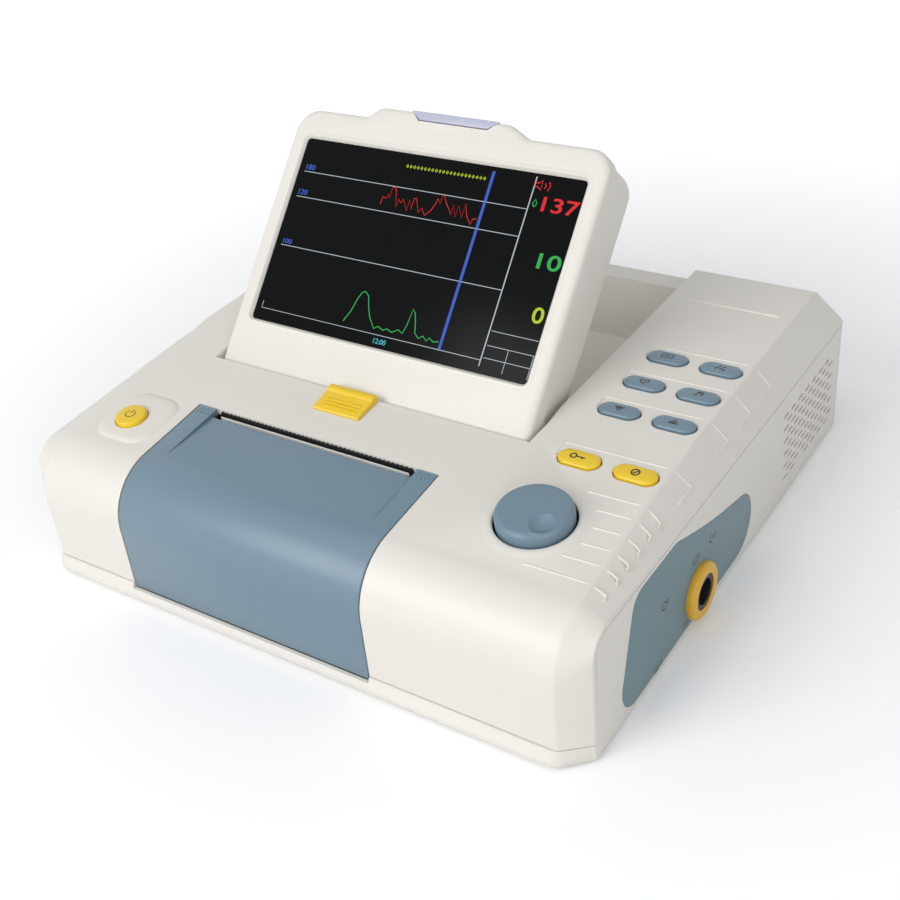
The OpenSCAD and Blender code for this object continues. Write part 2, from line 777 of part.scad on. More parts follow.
// Knob with a skirted edge and a finger dimple
module knob() {
  dimple_r = 9;
  color(slate) on_deck(knob_x, knob_y) difference() {
    rotate_extrude() polygon([
      [0, -knob_well + 1.2], [knob_r - 0.4, -knob_well + 1.2], [knob_r, -knob_well + 1.6],
      [knob_r, knob_h - 2.4], [knob_r - 0.7, knob_h - 0.9], [knob_r - 2.2, knob_h], [0, knob_h]
    ]);
    translate([0, 0, -knob_well]) cylinder(r = knob_shaft_r + run_gap, h = knob_well + 3);
    translate([6.4, 3.4, knob_h + dimple_r - 1.6]) sphere(dimple_r);
  }
}
encoder_bush_r = 4.5;
encoder_top = -knob_well - 2.4;
encoder_h = 8;
module knob_shaft() {
  color(steel) on_deck(knob_x, knob_y) translate([0, 0, encoder_top - encoder_h + 2])
    cylinder(r = knob_shaft_r, h = 2.4 - encoder_top + encoder_h - 2);
}
module encoder() {
  color(green) on_deck(knob_x, knob_y) difference() {
    union() {
      translate([-encoder_w / 2, -encoder_w / 2, encoder_top - encoder_h]) cube([encoder_w, encoder_w, encoder_h]);
      translate([0, 0, encoder_top]) cylinder(r = encoder_bush_r, h = 2.2);
    }
    translate([0, 0, encoder_top - encoder_h + 1]) cylinder(r = knob_shaft_r + run_gap, h = 20);
  }
}

// A key: flat oval cap, a flange below the cover and a plunger
module key(top_z, under_z, foot_z) {
  crown = 0.5;
  flange_z = under_z - lie_gap - key_flange;
  translate([0, 0, flange_z]) linear_extrude(top_z - crown - flange_z) stadium(key_l, key_w);
  translate([0, 0, top_z - crown]) linear_extrude(crown) stadium(key_l - 1.2, key_w - 1.2);
  translate([0, 0, flange_z]) linear_extrude(key_flange) stadium(key_l + 2, key_w + 2);
  translate([0, 0, foot_z]) linear_extrude(flange_z - foot_z + 0.1) stadium(8, 4);
}
module blue_key(row, col) {
  y = key_y1 - row * key_dy;
  color(slate) translate([key_x1 + col * key_dx, y, 0])
    key(console_z(y) + key_rise, rear_deck_z(y - key_w / 2 - 1) - wall, plunger_z);
}
module yellow_key(col) {
  z = front_deck_z(key_yellow_y);
  color(yellow) on_deck(key_x1 + col * key_dx, key_yellow_y) key(key_rise, -wall, plunger_z - z);
}
module key_1_left() { blue_key(0, 0); }
module key_1_right() { blue_key(0, 1); }
module key_2_left() { blue_key(1, 0); }
module key_2_right() { blue_key(1, 1); }
module key_3_left() { blue_key(2, 0); }
module key_3_right() { blue_key(2, 1); }
module key_yellow_left() { yellow_key(0); }
module key_yellow_right() { yellow_key(1); }

key_area_y = (key_y1 + key_yellow_y) / 2;
key_area_l = key_y1 - key_yellow_y + 26;
key_board_x0 = display_x + display_w / 2 + shaft_out + 0.6;
key_board_x1 = flat_x + 1;
module key_mat() {
  mat_w = key_board_x1 - key_board_x0 - 2;
  color("#9aa0a4") difference() {
    translate([(key_board_x0 + key_board_x1) / 2, key_area_y, mat_z]) linear_extrude(mat_t)
      round_plate(mat_w, key_area_l - 4, 3);
    // The posts of the cover pass the mat at its corners
    at_posts() translate([0, 0, -1]) cylinder(r = post_r + lie_gap, h = 5);
  }
}
module key_board() {
  // Its left edge stays clear of the display's hinge shaft
  color(green) translate([(key_board_x0 + key_board_x1) / 2, key_area_y, mat_z - board_t])
    linear_extrude(board_t) round_plate(key_board_x1 - key_board_x0, key_area_l, 2);
}

module power_button() {
  flange_top = -wall - lie_gap;
  color(yellow) on_deck(power_x, power_y) {
    translate([0, 0, flange_top - 1.2]) cylinder(r = power_r, h = pad_h + 1.4 - flange_top + 1.2);
    translate([0, 0, pad_h + 1.4]) cylinder(r1 = power_r, r2 = power_r - 0.8, h = 0.6);
    translate([0, 0, flange_top - 1.2]) cylinder(r = power_r + 1.6, h = 1.2);
  }
}
module power_switch() {
  top = -wall - lie_gap - 1.2 - power_travel - 0.2;
  color(green) on_deck(power_x, power_y) {
    translate([-3, -3, top - 3.5]) cube([6, 6, 3.5]);
    translate([-13, -12, top - 5]) cube([26, 24, 1.5]);
    for (s = [-1, 1]) translate([s * 11, 0, top - 3.5]) cylinder(r = 1.6, h = -wall - top + 3.5);
  }
}

// Puts a display piece in place: local Y runs back, local Z up the screen, from the hinge axis
module in_display() {
  translate([display_x, hinge_y, hinge_z]) rotate([-display_tilt, 0, 0]) children();
}
// Front view of the display above its barrel, moved inwards by t
module display_front(t) {
  top = frame_top_z - t;
  half = display_w / 2 - t;
  r = frame_r - t / 2;
  tab_x0 = tab_x - tab_w / 2 + t;
  tab_x1 = tab_x + tab_w / 2 - t;
  polygon(concat(
    [[-half, 0], [half, 0]],
    arc([half - r, top - r], r, 0, 90, 12),
    [
      [tab_x1 + 9, top], [tab_x1, top + tab_h - 1], [tab_x1 - 3, top + tab_h],
      [tab_x0 + 3, top + tab_h], [tab_x0, top + tab_h - 1], [tab_x0 - 5, top]
    ],
    arc([r - half, top - r], r, 90, 180, 12)
  ));
}
module upright(y0, y1) {
  translate([0, y1, 0]) rotate([90, 0, 0]) linear_extrude(y1 - y0) children();
}

lens_w = 48;
lens_x = 1.8;
lens_z = frame_top_z + tab_h - 4.6;
panel_depth = 7;
window_t = 1.5;

module display_frame() {
  color(white) in_display() difference() {
    union() {
      upright(-barrel_r, -barrel_r + frame_t) display_front(0);
      translate([-display_w / 2, 0, 0]) rotate([0, 90, 0]) cylinder(r = barrel_r, h = display_w);
    }
    // Opening for the picture, with a sloping edge
    translate([0, -barrel_r, screen_z + screen_h / 2]) rotate([-90, 0, 0]) {
      translate([0, 0, -1]) linear_extrude(frame_t + 10) round_plate(screen_w, screen_h, 2);
      translate([0, 0, 1.5]) linear_extrude(frame_t + 10) round_plate(screen_w + 6, screen_h + 6, 2);
    }
    // Pocket of the alarm light
    upright(-barrel_r - 1, -barrel_r + 4) lens_front(0, 0, 20);
    // Barrel is hollow behind its front
    translate([-display_w / 2 + 24, 0, 0]) rotate([0, 90, 0]) cylinder(r = barrel_r - 3, h = display_w - 48);
    translate([-display_w / 2 - 1, 0, 0]) rotate([0, 90, 0]) cylinder(r = hinge_r, h = display_w + 2);
    along_back(display_w) back_outline(frame_t - barrel_r);
  }
}

// Side view of the display's rear half: flat back, thinner towards its top, open to the barrel below
module back_outline(y0) {
  y1 = display_back_y;
  polygon([
    [y0, barrel_r - 0.2], [y1 - 4, 0.5], [y1, 4], [y1, frame_top_z - 26],
    [y1 - 5, tab_top_z - 1], [y1 - 8, tab_top_z], [y0, tab_top_z]
  ]);
}
module along_back(w) {
  rotate([90, 0, 90]) translate([0, 0, -w / 2]) linear_extrude(w) children();
}
module display_back() {
  step = 1.2;
  skin = 2.4;
  y0 = frame_t - barrel_r;
  color(white) in_display() difference() {
    intersection() {
      upright(y0, display_back_y) display_front(step);
      along_back(display_w) back_outline(y0);
    }
    intersection() {
      upright(y0 - 1, display_back_y - skin - 4) display_front(step + skin);
      along_back(display_w) translate([y0 - 1, barrel_r + 3]) square([display_t, frame_top_z - barrel_r - 8]);
    }
  }
}

lcd_gap = 0.2;
module screen_window() {
  color(black) in_display() translate([0, -barrel_r + 1.5, screen_z + screen_h / 2]) rotate([-90, 0, 0])
    linear_extrude(window_t) round_plate(screen_w + 6 - 2 * lcd_gap, screen_h + 6 - 2 * lcd_gap, 2);
}
module lcd_panel() {
  color(steel) in_display() translate([0, -barrel_r + 1.5 + window_t, screen_z + screen_h / 2]) rotate([-90, 0, 0])
    linear_extrude(panel_depth) round_plate(screen_w + 6 - 2 * lcd_gap, screen_h + 6 - 2 * lcd_gap, 2);
}
// Front view of the light bar, narrower below, with play g at its ends and t at its foot
module lens_front(g, t, up) {
  slope = 5.5;
  polygon([
    [lens_x - lens_w / 2 + slope + g, lens_z + t], [lens_x + lens_w / 2 - slope - g, lens_z + t],
    [lens_x + lens_w / 2 - g, lens_z + 4.6], [lens_x + lens_w / 2 - g, lens_z + 4.6 + up],
    [lens_x - lens_w / 2 + g, lens_z + 4.6 + up], [lens_x - lens_w / 2 + g, lens_z + 4.6]
  ]);
}
module alarm_lens() {
  color("#c9cbe0") in_display() upright(-barrel_r - 0.2, -barrel_r + 2.5) lens_front(0.4, 0.15, 0.01);
}
module alarm_board() {
  board_w = lens_w - 16;
  color(green) in_display() translate([lens_x - board_w / 2, -barrel_r + 2.5, lens_z + 0.4])
    cube([board_w, 1.4, tab_top_z - lens_z - 0.8]);
}

shaft_in = 20;
module hinge_shafts() {
  color(steel) for (s = [-1, 1])
    translate([display_x + s * (display_w / 2 + (shaft_out - shaft_in) / 2), hinge_y, hinge_z])
      rotate([0, 90, 0]) cylinder(r = hinge_r, h = shaft_in + shaft_out, center = true);
}
module hinge_blocks() {
  block_l = shaft_out - recess_gap - wall - 0.5;
  color("#70757a") for (s = [-1, 1])
    translate([display_x + s * (display_w / 2 + recess_gap + wall + block_l / 2), hinge_y, hinge_z]) difference() {
      translate([-block_l / 2, -8, -8]) cube([block_l, 16, deck_h - wall - lie_gap - hinge_z + 8]);
      rotate([0, 90, 0]) cylinder(r = hinge_r + run_gap, h = block_l + 2, center = true);
    }
}

module main_board() {
  color(green) translate([board_x0, board_y0, board_z]) cube([board_x1 - board_x0, board_y1 - board_y0, board_t]);
  color(steel) translate([board_x0 + 8, board_y0 + 46, board_z + board_t]) cube([36, 40, 5]);
  color(black) for (y = [board_y0 + 14, board_y1 - 34]) translate([board_x0 + 18, y, board_z + board_t])
    cube([16, 16, 2]);
}
module power_supply() {
  // Between the left side wall and the tub of the recess
  x0 = -side_x + wall + 4;
  x1 = recess_x0 - wall - 3.8;
  l = 86;
  y0 = rear_side_y - 25 - l;
  color(steel) difference() {
    translate([x0, y0, floor_z]) cube([x1 - x0, l, recess_floor_z + 6.4 - floor_z]);
    for (i = [0:7]) translate([x0 - 1, y0 + 8 + i * 9, floor_z + 12]) cube([x1 - x0 + 2, 3, 24]);
  }
}
module battery_pack() {
  color("#3c5a86") translate([battery_x, battery_y, base_z + 2.05]) linear_extrude(24)
    round_plate(battery_l - 1, battery_w - 1, 4);
}
module battery_door() {
  color(white) translate([battery_x, battery_y, base_z]) linear_extrude(2)
    round_plate(battery_l + 6, battery_w + 6, 6);
}
// Loudspeaker behind the slits: frame, magnet and cone
module speaker() {
  cone_r = 15;
  color(black) translate([side_x - wall, grille_y, grille_z]) rotate([0, -90, 0]) difference() {
    union() {
      linear_extrude(2.5) round_plate(38, 64, 4);
      translate([0, 0, 2.5]) cylinder(r1 = cone_r + 2, r2 = 9, h = 8);
      translate([0, 0, 10.5]) cylinder(r = 11, h = 6);
    }
    translate([0, 0, -1]) cylinder(r1 = cone_r + 1, r2 = 6, h = 9);
  }
}

// Three-pole mains inlet: open cavity with blades
inlet_w = 24.4;
inlet_h = 16.6;
inlet_l = 17;
module mains_inlet() {
  color(black) translate([inlet_x, rear_y, inlet_z]) rotate([-90, 0, 0]) difference() {
    union() {
      translate([0, 0, -inlet_l - 2]) linear_extrude(inlet_l + 2) round_plate(27.8, 19.8, 2);
      linear_extrude(1.6) round_plate(31, 23, 3);
    }
    translate([0, 0, -inlet_l]) linear_extrude(inlet_l + 5) round_plate(inlet_w, inlet_h, 3);
    for (x = [-7, 0, 7]) translate([x - 1, (x == 0 ? -2 : 2) - 2, -inlet_l - 3]) cube([2, 4, 4]);
  }
}
module inlet_pins() {
  color(steel) translate([inlet_x, rear_y, inlet_z]) rotate([-90, 0, 0])
    for (x = [-7, 0, 7]) translate([x - 1, (x == 0 ? -2 : 2) - 2, -inlet_l - 4]) cube([2, 4, inlet_l + 2]);
}

module feet() {
  color(black) at_feet() cylinder(r = foot_r, h = base_z + 1);
}
module case_screws() {
  color(steel) at_screws() difference() {
    union() {
      translate([0, 0, base_z + 3.6]) cylinder(r = screw_head_r, h = 2.4);
      translate([0, 0, base_z + 6]) cylinder(r = screw_r, h = screw_top_z - base_z - 8);
    }
    translate([-2, -0.4, base_z + 3]) cube([4, 0.8, 1.6]);
    translate([-0.4, -2, base_z + 3]) cube([0.8, 4, 1.6]);
  }
}

bottom_case();
top_cover();
connector_panel();
socket_ring();
socket_insert();
printer_door();
door_pins();
platen_roller();
platen_shaft();
platen_gear();
platen_bushes();
paper_tray();
paper_pack();
paper_web();
print_head();
head_bracket();
tear_bar();
feed_motor();
motor_pinion();
latch_button();
latch_bar();
knob();
knob_shaft();
encoder();
key_1_left();
key_1_right();
key_2_left();
key_2_right();
key_3_left();
key_3_right();
key_yellow_left();
key_yellow_right();
key_mat();
key_board();
power_button();
power_switch();
display_frame();
display_back();
lcd_panel();
screen_window();
alarm_lens();
alarm_board();
hinge_shafts();
hinge_blocks();
main_board();
power_supply();
battery_pack();
battery_door();
speaker();
mains_inlet();
inlet_pins();
feet();
case_screws();
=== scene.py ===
import math

import bmesh
import bpy
from mathutils import Matrix, Vector


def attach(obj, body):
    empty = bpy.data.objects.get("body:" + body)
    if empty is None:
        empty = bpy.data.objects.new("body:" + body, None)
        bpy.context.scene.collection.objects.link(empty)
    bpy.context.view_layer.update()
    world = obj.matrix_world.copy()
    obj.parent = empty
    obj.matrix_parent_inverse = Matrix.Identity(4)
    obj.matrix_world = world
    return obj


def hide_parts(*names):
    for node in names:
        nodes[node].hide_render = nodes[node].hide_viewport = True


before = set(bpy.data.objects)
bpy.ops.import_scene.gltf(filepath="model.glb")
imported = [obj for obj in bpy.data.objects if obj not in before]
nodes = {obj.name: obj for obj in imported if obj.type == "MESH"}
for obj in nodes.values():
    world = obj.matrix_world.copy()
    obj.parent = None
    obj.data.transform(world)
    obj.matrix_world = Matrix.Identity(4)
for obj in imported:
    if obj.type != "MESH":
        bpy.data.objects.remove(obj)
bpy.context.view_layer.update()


# Studio: a pale paper floor, soft lamps in front, on the right and above, and a
# camera that looks down at the front right corner, as the photograph does.
def linear(colour):
    """An sRGB hex colour as the linear RGBA that shaders read."""
    parts = [int(colour[i:i + 2], 16) / 255 for i in (1, 3, 5)]
    return [p / 12.92 if p <= 0.04045 else ((p + 0.055) / 1.055) ** 2.4 for p in parts] + [1.0]


def add_node(tree, kind, links=(), **settings):
    """Adds a node: settings are its options or input values, links are (input, the output it comes from)."""
    node = tree.nodes.new(kind)
    for name, value in settings.items():
        if hasattr(node, name):
            setattr(node, name, value)
        else:
            node.inputs[name.replace("_", " ")].default_value = value
    for name, source in links:
        tree.links.new(source, node.inputs[name])
    return node


def new_material(name, colour, roughness, **values):
    """A node material with these values on its Principled shader: returns it, its tree and the shader."""
    material = bpy.data.materials.new(name)
    material.use_nodes = True
    shader = material.node_tree.nodes["Principled BSDF"]
    shader.inputs["Base Color"].default_value = linear(colour)
    shader.inputs["Roughness"].default_value = roughness
    for key, value in values.items():
        shader.inputs[key.replace("_", " ")].default_value = value
    return material, material.node_tree, shader


def seen_directly(tree):
    """An output that is 1 for rays from the camera, from a gloss or through glass, and 0 for light on the object."""
    ray = add_node(tree, "ShaderNodeLightPath")
    total = ray.outputs["Is Camera Ray"]
    for kind in ("Is Glossy Ray", "Is Transmission Ray"):
        total = add_node(tree, "ShaderNodeMath", [(0, total), (1, ray.outputs[kind])], operation="ADD",
                         use_clamp=True).outputs[0]
    return total


camera = bpy.data.objects.new("camera", bpy.data.cameras.new("camera"))
bpy.context.collection.objects.link(camera)
camera.matrix_world = Matrix((
    (0.8362, -0.2392, 0.4935, 0.31236),
    (0.5415, 0.5034, -0.6734, -0.42953),
    (-0.0872, 0.8303, 0.5504, 0.37255),
    (0, 0, 0, 1),
))
camera.data.lens = 52.36
camera.data.sensor_width = 36
camera.data.clip_start = 0.01
bpy.context.scene.camera = camera
bpy.context.scene.view_settings.view_transform = "Standard"

bpy.ops.object.select_all(action="DESELECT")
bpy.ops.mesh.primitive_plane_add(size=6, location=(0, 0, 0))
floor = bpy.context.object
floor.name = "floor"
# Where it is seen, the paper burns out to white from 0.12 to 0.6 m away from the object, and keeps its shadow.
studio_paper, tree, shader = new_material("white_studio_paper", "#f2f2f2", 0.9)
place = add_node(tree, "ShaderNodeTexCoord")
reach = add_node(tree, "ShaderNodeVectorMath", [(0, place.outputs["Object"])], operation="LENGTH")
burn = add_node(tree, "ShaderNodeMapRange", [("Value", reach.outputs["Value"])], From_Min=0.12, From_Max=0.6,
                To_Min=0.1, To_Max=0.6)
burn = add_node(tree, "ShaderNodeMath", [(0, burn.outputs["Result"]), (1, seen_directly(tree))], operation="MULTIPLY")
shader.inputs["Emission Color"].default_value = (1, 1, 1, 1)
tree.links.new(burn.outputs[0], shader.inputs["Emission Strength"])
floor.data.materials.append(studio_paper)

world = bpy.data.worlds.new("studio")
bpy.context.scene.world = world
world.use_nodes = True
sky = world.node_tree.nodes["Background"]
sky.inputs["Color"].default_value = linear("#f4f6fa")
sky.inputs["Strength"].default_value = 0.42
# What the camera sees past the paper, and what glosses show of it, is plain white.
tree = world.node_tree
white = add_node(tree, "ShaderNodeBackground", Color=(1, 1, 1, 1), Strength=1.0)
mixed = add_node(tree, "ShaderNodeMixShader", [("Fac", seen_directly(tree)), (1, sky.outputs[0]),
                                               (2, white.outputs[0])])
tree.links.new(mixed.outputs[0], tree.nodes["World Output"].inputs["Surface"])
for name, place, size, power in (
    ("lamp_front", (-0.42, -1.15, 0.78), 0.8, 9.5),
    ("lamp_right", (1.0, -0.7, 0.5), 0.7, 3),
    ("lamp_top", (-0.1, -0.3, 1.4), 0.7, 2.4),
):
    lamp = bpy.data.objects.new(name, bpy.data.lights.new(name, "AREA"))
    bpy.context.collection.objects.link(lamp)
    lamp.data.size = size
    lamp.data.energy = power
    lamp.location = place
    lamp.rotation_euler = (Vector((0, 0, 0.05)) - Vector(place)).to_track_quat("-Z", "Y").to_euler()


# Bottom case: an injection-moulded white tub with chamfered corners and a lip
# round the foot of its front. The side outline is drawn once, and the shell is
# the outer block with the same block, three millimetres smaller, taken out.

# In metres: half widths of the deck and of the case, the wall, the rounded nose (its centre
# as (y, z), and its radius), the socket, and the door's pivot and the width of its opening.
FLAT, SIDE = 0.1325, 0.144
WALL = 0.003
NOSE, NOSE_R = (-0.1114, 0.0389), 0.026
SOCKET = (-0.036, 0.0155)
PIVOT = (-0.131, 0.0105)
DOOR_WAY = (-0.0857, 0.0465)


def arc(centre, radius, start, end, steps):
    """Points along an arc, as pairs."""
    angles = [math.radians(start + (end - start) * i / steps) for i in range(steps + 1)]
    return [(centre[0] + radius * math.cos(a), centre[1] + radius * math.sin(a)) for a in angles]


def case_outline(inset, consoles):
    """Matching (y, z) points of the side outline: over the deck, and along the side walls."""
    deck = [(-0.1374 + inset, 0.0015 + inset)] + arc(NOSE, NOSE_R - inset, 180, 96.5, 16)
    wall = [(-0.128 + inset, 0.0015 + inset)] + arc((-0.116, 0.048), 0.012 - inset, 180, 92, 16)
    deck.append((-0.04, 0.0732 - inset))
    wall.append((-0.04, 0.06 - inset))
    if consoles:
        deck += [(-0.028, 0.0733), (-0.016, 0.0751), (0.123, 0.0766)]
        wall += [(-0.028, 0.06), (-0.016, 0.06), (0.1305, 0.06)]
    else:
        deck.append((0.123, 0.075 - inset))
        wall.append((0.1305 - inset, 0.06 - inset))
    deck += [(0.14 - inset, 0.06 - inset), (0.14 - inset, 0.0015 + inset)]
    wall += [(0.131 - inset, 0.0598 - inset), (0.131 - inset, 0.0015 + inset)]
    return deck, wall


def start_edit(piece):
    """Selects one piece alone and opens it in edit mode with nothing selected in it."""
    bpy.ops.object.select_all(action="DESELECT")
    bpy.context.view_layer.objects.active = piece
    piece.select_set(True)
    bpy.ops.object.mode_set(mode="EDIT")
    bpy.ops.mesh.select_all(action="DESELECT")


def pick_edges(piece, test):
    """Selects the edges whose ends both pass the test, in edit mode."""
    bpy.ops.mesh.select_mode(type="EDGE")
    mesh = bmesh.from_edit_mesh(piece.data)
    for edge in mesh.edges:
        if all(test(v.co) for v in edge.verts):
            edge.select_set(True)
    bmesh.update_edit_mesh(piece.data)


def loft(name, rings):
    """A solid through rings of points: a filled circle is laid on the first ring and extruded to each next one."""
    bpy.ops.object.select_all(action="DESELECT")
    bpy.ops.mesh.primitive_circle_add(vertices=len(rings[0]), radius=0.1, fill_type="NGON")
    piece = bpy.context.object
    piece.name = piece.data.name = name
    for vertex, point in zip(piece.data.vertices, rings[0]):
        vertex.co = point
    start_edit(piece)
    bpy.ops.mesh.select_all(action="SELECT")
    for before, after in zip(rings, rings[1:]):
        bpy.ops.mesh.extrude_region_move(TRANSFORM_OT_translate={"value": (0, 0, 0)})
        mesh = bmesh.from_edit_mesh(piece.data)
        for vertex in [v for v in mesh.verts if v.select]:
            nearest = min(range(len(before)), key=lambda i: (vertex.co - Vector(before[i])).length)
            vertex.co = after[nearest]
        bmesh.update_edit_mesh(piece.data)
    bpy.ops.mesh.select_all(action="SELECT")
    bpy.ops.mesh.normals_make_consistent(inside=False)
    bpy.ops.object.mode_set(mode="OBJECT")
    return piece


def finish_modifier(piece, kind, **settings):
    """Adds a modifier with these settings and applies it."""
    bpy.ops.object.select_all(action="DESELECT")
    bpy.context.view_layer.objects.active = piece
    piece.select_set(True)
    modifier = piece.modifiers.new(kind.lower(), kind)
    for name, value in settings.items():
        setattr(modifier, name, value)
    bpy.ops.object.modifier_apply(modifier=modifier.name)


def join(pieces):
    """Joins pieces into the first one."""
    bpy.ops.object.select_all(action="DESELECT")
    for piece in pieces:
        piece.select_set(True)
    bpy.context.view_layer.objects.active = pieces[0]
    bpy.ops.object.join()
    return pieces[0]


def combine(piece, tools, operation="DIFFERENCE"):
    """Cuts, adds or intersects with tool pieces, and deletes them."""
    tool = join(tools)
    finish_modifier(piece, "BOOLEAN", object=tool, operation=operation, solver="EXACT")
    bpy.data.objects.remove(tool)


def prism(name, points, x0, x1):
    """A side outline, as (y, z), extruded between two places across the width."""
    return loft(name, [[(x0, y, z) for y, z in points], [(x1, y, z) for y, z in points]])


def box(name, low, high):
    """A plain block between two corners."""
    bpy.ops.object.select_all(action="DESELECT")
    centre = [(a + b) / 2 for a, b in zip(low, high)]
    bpy.ops.mesh.primitive_cube_add(size=1, location=centre, scale=[b - a for a, b in zip(low, high)])
    bpy.ops.object.transform_apply(location=True, rotation=True, scale=True)
    bpy.context.object.name = name
    return bpy.context.object


def plate(length, width, radius, centre=(0, 0)):
    """A rounded rectangle, as a function of how far it is grown."""
    def points(grow):
        r = max(radius + grow, 0.0002)
        a, b = length / 2 + grow - r, width / 2 + grow - r
        return [p for k, (x, y) in enumerate(((a, b), (-a, b), (-a, -b), (a, -b)))
                for p in arc((centre[0] + x, centre[1] + y), r, 90 * k, 90 * k + 90, 6)]
    return points


def disc(radius, centre=(0, 0), corners=48):
    """A circle, as a function of how far it is grown."""
    return lambda grow: arc(centre, radius + grow, 0, 360 * (corners - 1) / corners, corners - 1)


def moulded(name, outline, steps, place=Matrix()):
    """A solid whose outline is grown, and laid at a height, at each (grow, height) step."""
    return loft(name, [[place @ Vector((x, y, h)) for x, y in outline(grow)] for grow, h in steps])


def case_block(name, inset, consoles=False):
    """The whole case as one block with softened creases, moved inwards by inset."""
    deck, wall = case_outline(inset, consoles)
    rings = [[(s * x, y, z) for y, z in points] for s, x, points in (
        (-1, SIDE - inset, wall), (-1, FLAT - inset / 2, deck), (1, FLAT - inset / 2, deck), (1, SIDE - inset, wall))]
    block = loft(name, rings)
    if inset:
        return block
    weights = block.data.attributes.new("bevel_weight_edge", "FLOAT", "EDGE")
    for edge in block.data.edges:
        a, b = [block.data.vertices[i].co for i in edge.vertices]
        lengthwise = abs(a.x - b.x) < 0.001 and (min(a.z, b.z) > 0.002 or abs(a.z - b.z) > 0.01)
        value = 0
        if lengthwise:
            value = 1.0 if abs(abs(a.x) - FLAT) < 1e-4 else 0.75
        elif abs(a.x - b.x) > 0.1:
            value = 0.9 if abs(a.y - 0.123) < 1e-4 else 0.6 if abs(a.y - 0.14) < 1e-4 and a.z > 0.05 else 0
        elif abs(a.x - b.x) > 0.001 and min(a.y, b.y) > 0.12 and min(a.z, b.z) > 0.05:
            value = 0.6
        weights.data[edge.index].value = value
    finish_modifier(block, "BEVEL", limit_method="WEIGHT", width=0.0042, segments=4, use_clamp_overlap=True)
    return block


def soften(points, cut, steps=4):
    """Rounds the inner corners of an open line, from cut before each corner to cut after it."""
    line = [Vector(points[0])]
    for a, b, c in zip(map(Vector, points), map(Vector, points[1:]), map(Vector, points[2:])):
        start = b + (a - b).normalized() * cut
        end = b + (c - b).normalized() * cut
        for t in (i / steps for i in range(steps + 1)):
            line.append(start * (1 - t) ** 2 + b * 2 * t * (1 - t) + end * t * t)
    return line + [Vector(points[-1])]


def below_seam(drop):
    """Side outline of all that belongs to the bottom case, with a little play under the cover."""
    return [(-0.16, -0.01), (-0.16, 0.009 - drop), (-0.126, 0.009 - drop)] + \
        arc((-0.116, 0.048), 0.010 - drop, 180, 90, 10) + [(0.16, 0.058 - drop), (0.16, -0.01)]


def moulded_abs(name, colour, roughness, grain):
    """Moulded ABS. Its tool leaves a matt grain of about 0.1 mm, too fine to show, so grain (in metres) is coarser."""
    material, tree, shader = new_material(name, colour, roughness, IOR=1.54)
    place = add_node(tree, "ShaderNodeTexCoord")
    noise = add_node(tree, "ShaderNodeTexNoise", [("Vector", place.outputs["Object"])], Scale=1 / grain, Detail=2.0)
    bump = add_node(tree, "ShaderNodeBump", [("Height", noise.outputs["Fac"])], Strength=0.12, Distance=0.0001)
    tree.links.new(bump.outputs["Normal"], shader.inputs["Normal"])
    return material


def dress(piece, body, material, slot, *replaced, smooth=30):
    """Gives a piece its material and body, and smooths all but its sharp edges; slot is not used."""
    bpy.ops.object.select_all(action="DESELECT")
    bpy.context.view_layer.objects.active = piece
    piece.select_set(True)
    bpy.ops.object.shade_smooth_by_angle(angle=math.radians(smooth))
    piece.data.materials.clear()
    piece.data.materials.append(material)
    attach(piece, body)
    if replaced:
        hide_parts(*replaced)


# White ABS reads as a warm off-white with a soft, wide highlight.
white_abs = moulded_abs("white_spark_eroded_abs", "#e6e2da", 0.42, 0.0006)
bottom = case_block("bottom_case_shell", 0)
combine(bottom, [prism("keep", below_seam(0.0004), -0.2, 0.2)], "INTERSECT")
combine(bottom, [case_block("hollow", WALL)])
lip_plan = [(-SIDE + 1e-4, -0.12), (-SIDE + 1e-4, -0.128), (-FLAT, -0.1374), (FLAT, -0.1374),
            (SIDE - 1e-4, -0.128), (SIDE - 1e-4, -0.12)]
lip_rings = []
for out, z in ((0.0019, 0.0015), (0.0026, 0.0021), (0.0026, 0.0042), (0.0022, 0.0048), (0.0006, 0.0086)):
    corners = [(x, y - (out if abs(x) < SIDE - 0.001 else 0)) for x, y in lip_plan]
    line = soften([(x, y, z) for x, y in corners], 0.0042)
    lip_rings.append([tuple(p) for p in line])
combine(bottom, [loft("lip", lip_rings)], "UNION")
# Inside the lip, a round groove lets the foot of the printer door swing past
combine(bottom, [prism("door_sweep", arc(PIVOT, 0.0077, 0, 350, 35), *DOOR_WAY)])

SIDE_WALL = Matrix(((0, 0, 1, SIDE), (1, 0, 0, 0), (0, 1, 0, 0), (0, 0, 0, 1)))


def panel_outline(grow):
    """The connector panel's leaf shape on the side wall, as (y, z), grown by so much."""
    front, foot = ((-0.088, 0.0465), 0.009 + grow), ((-0.094, 0.015), 0.012 + grow)
    top, rear = ((-0.06, 0.046), 0.0095 + grow), ((0.004, 0.0195), 0.016 + grow)
    a, b = Vector(arc(*rear, 72.9, 72.9, 1)[0]), Vector(arc(*top, 72.9, 72.9, 1)[0])
    dip = Vector((math.cos(math.radians(72.9)), math.sin(math.radians(72.9)))) * -0.0015
    slope = [tuple(a.lerp(b, t / 8) + dip * math.sin(math.pi * t / 8)) for t in range(1, 8)]
    return arc(*rear, -89.7, 72.9, 14) + slope + arc(*top, 72.9, 90, 3) + arc(*front, 90, 163.8, 8) \
        + arc(*foot, 163.8, 270, 10)


def on_wall(y, z):
    """A place on the right side wall, looking outwards."""
    return SIDE_WALL @ Matrix.Translation((y, z, 0))


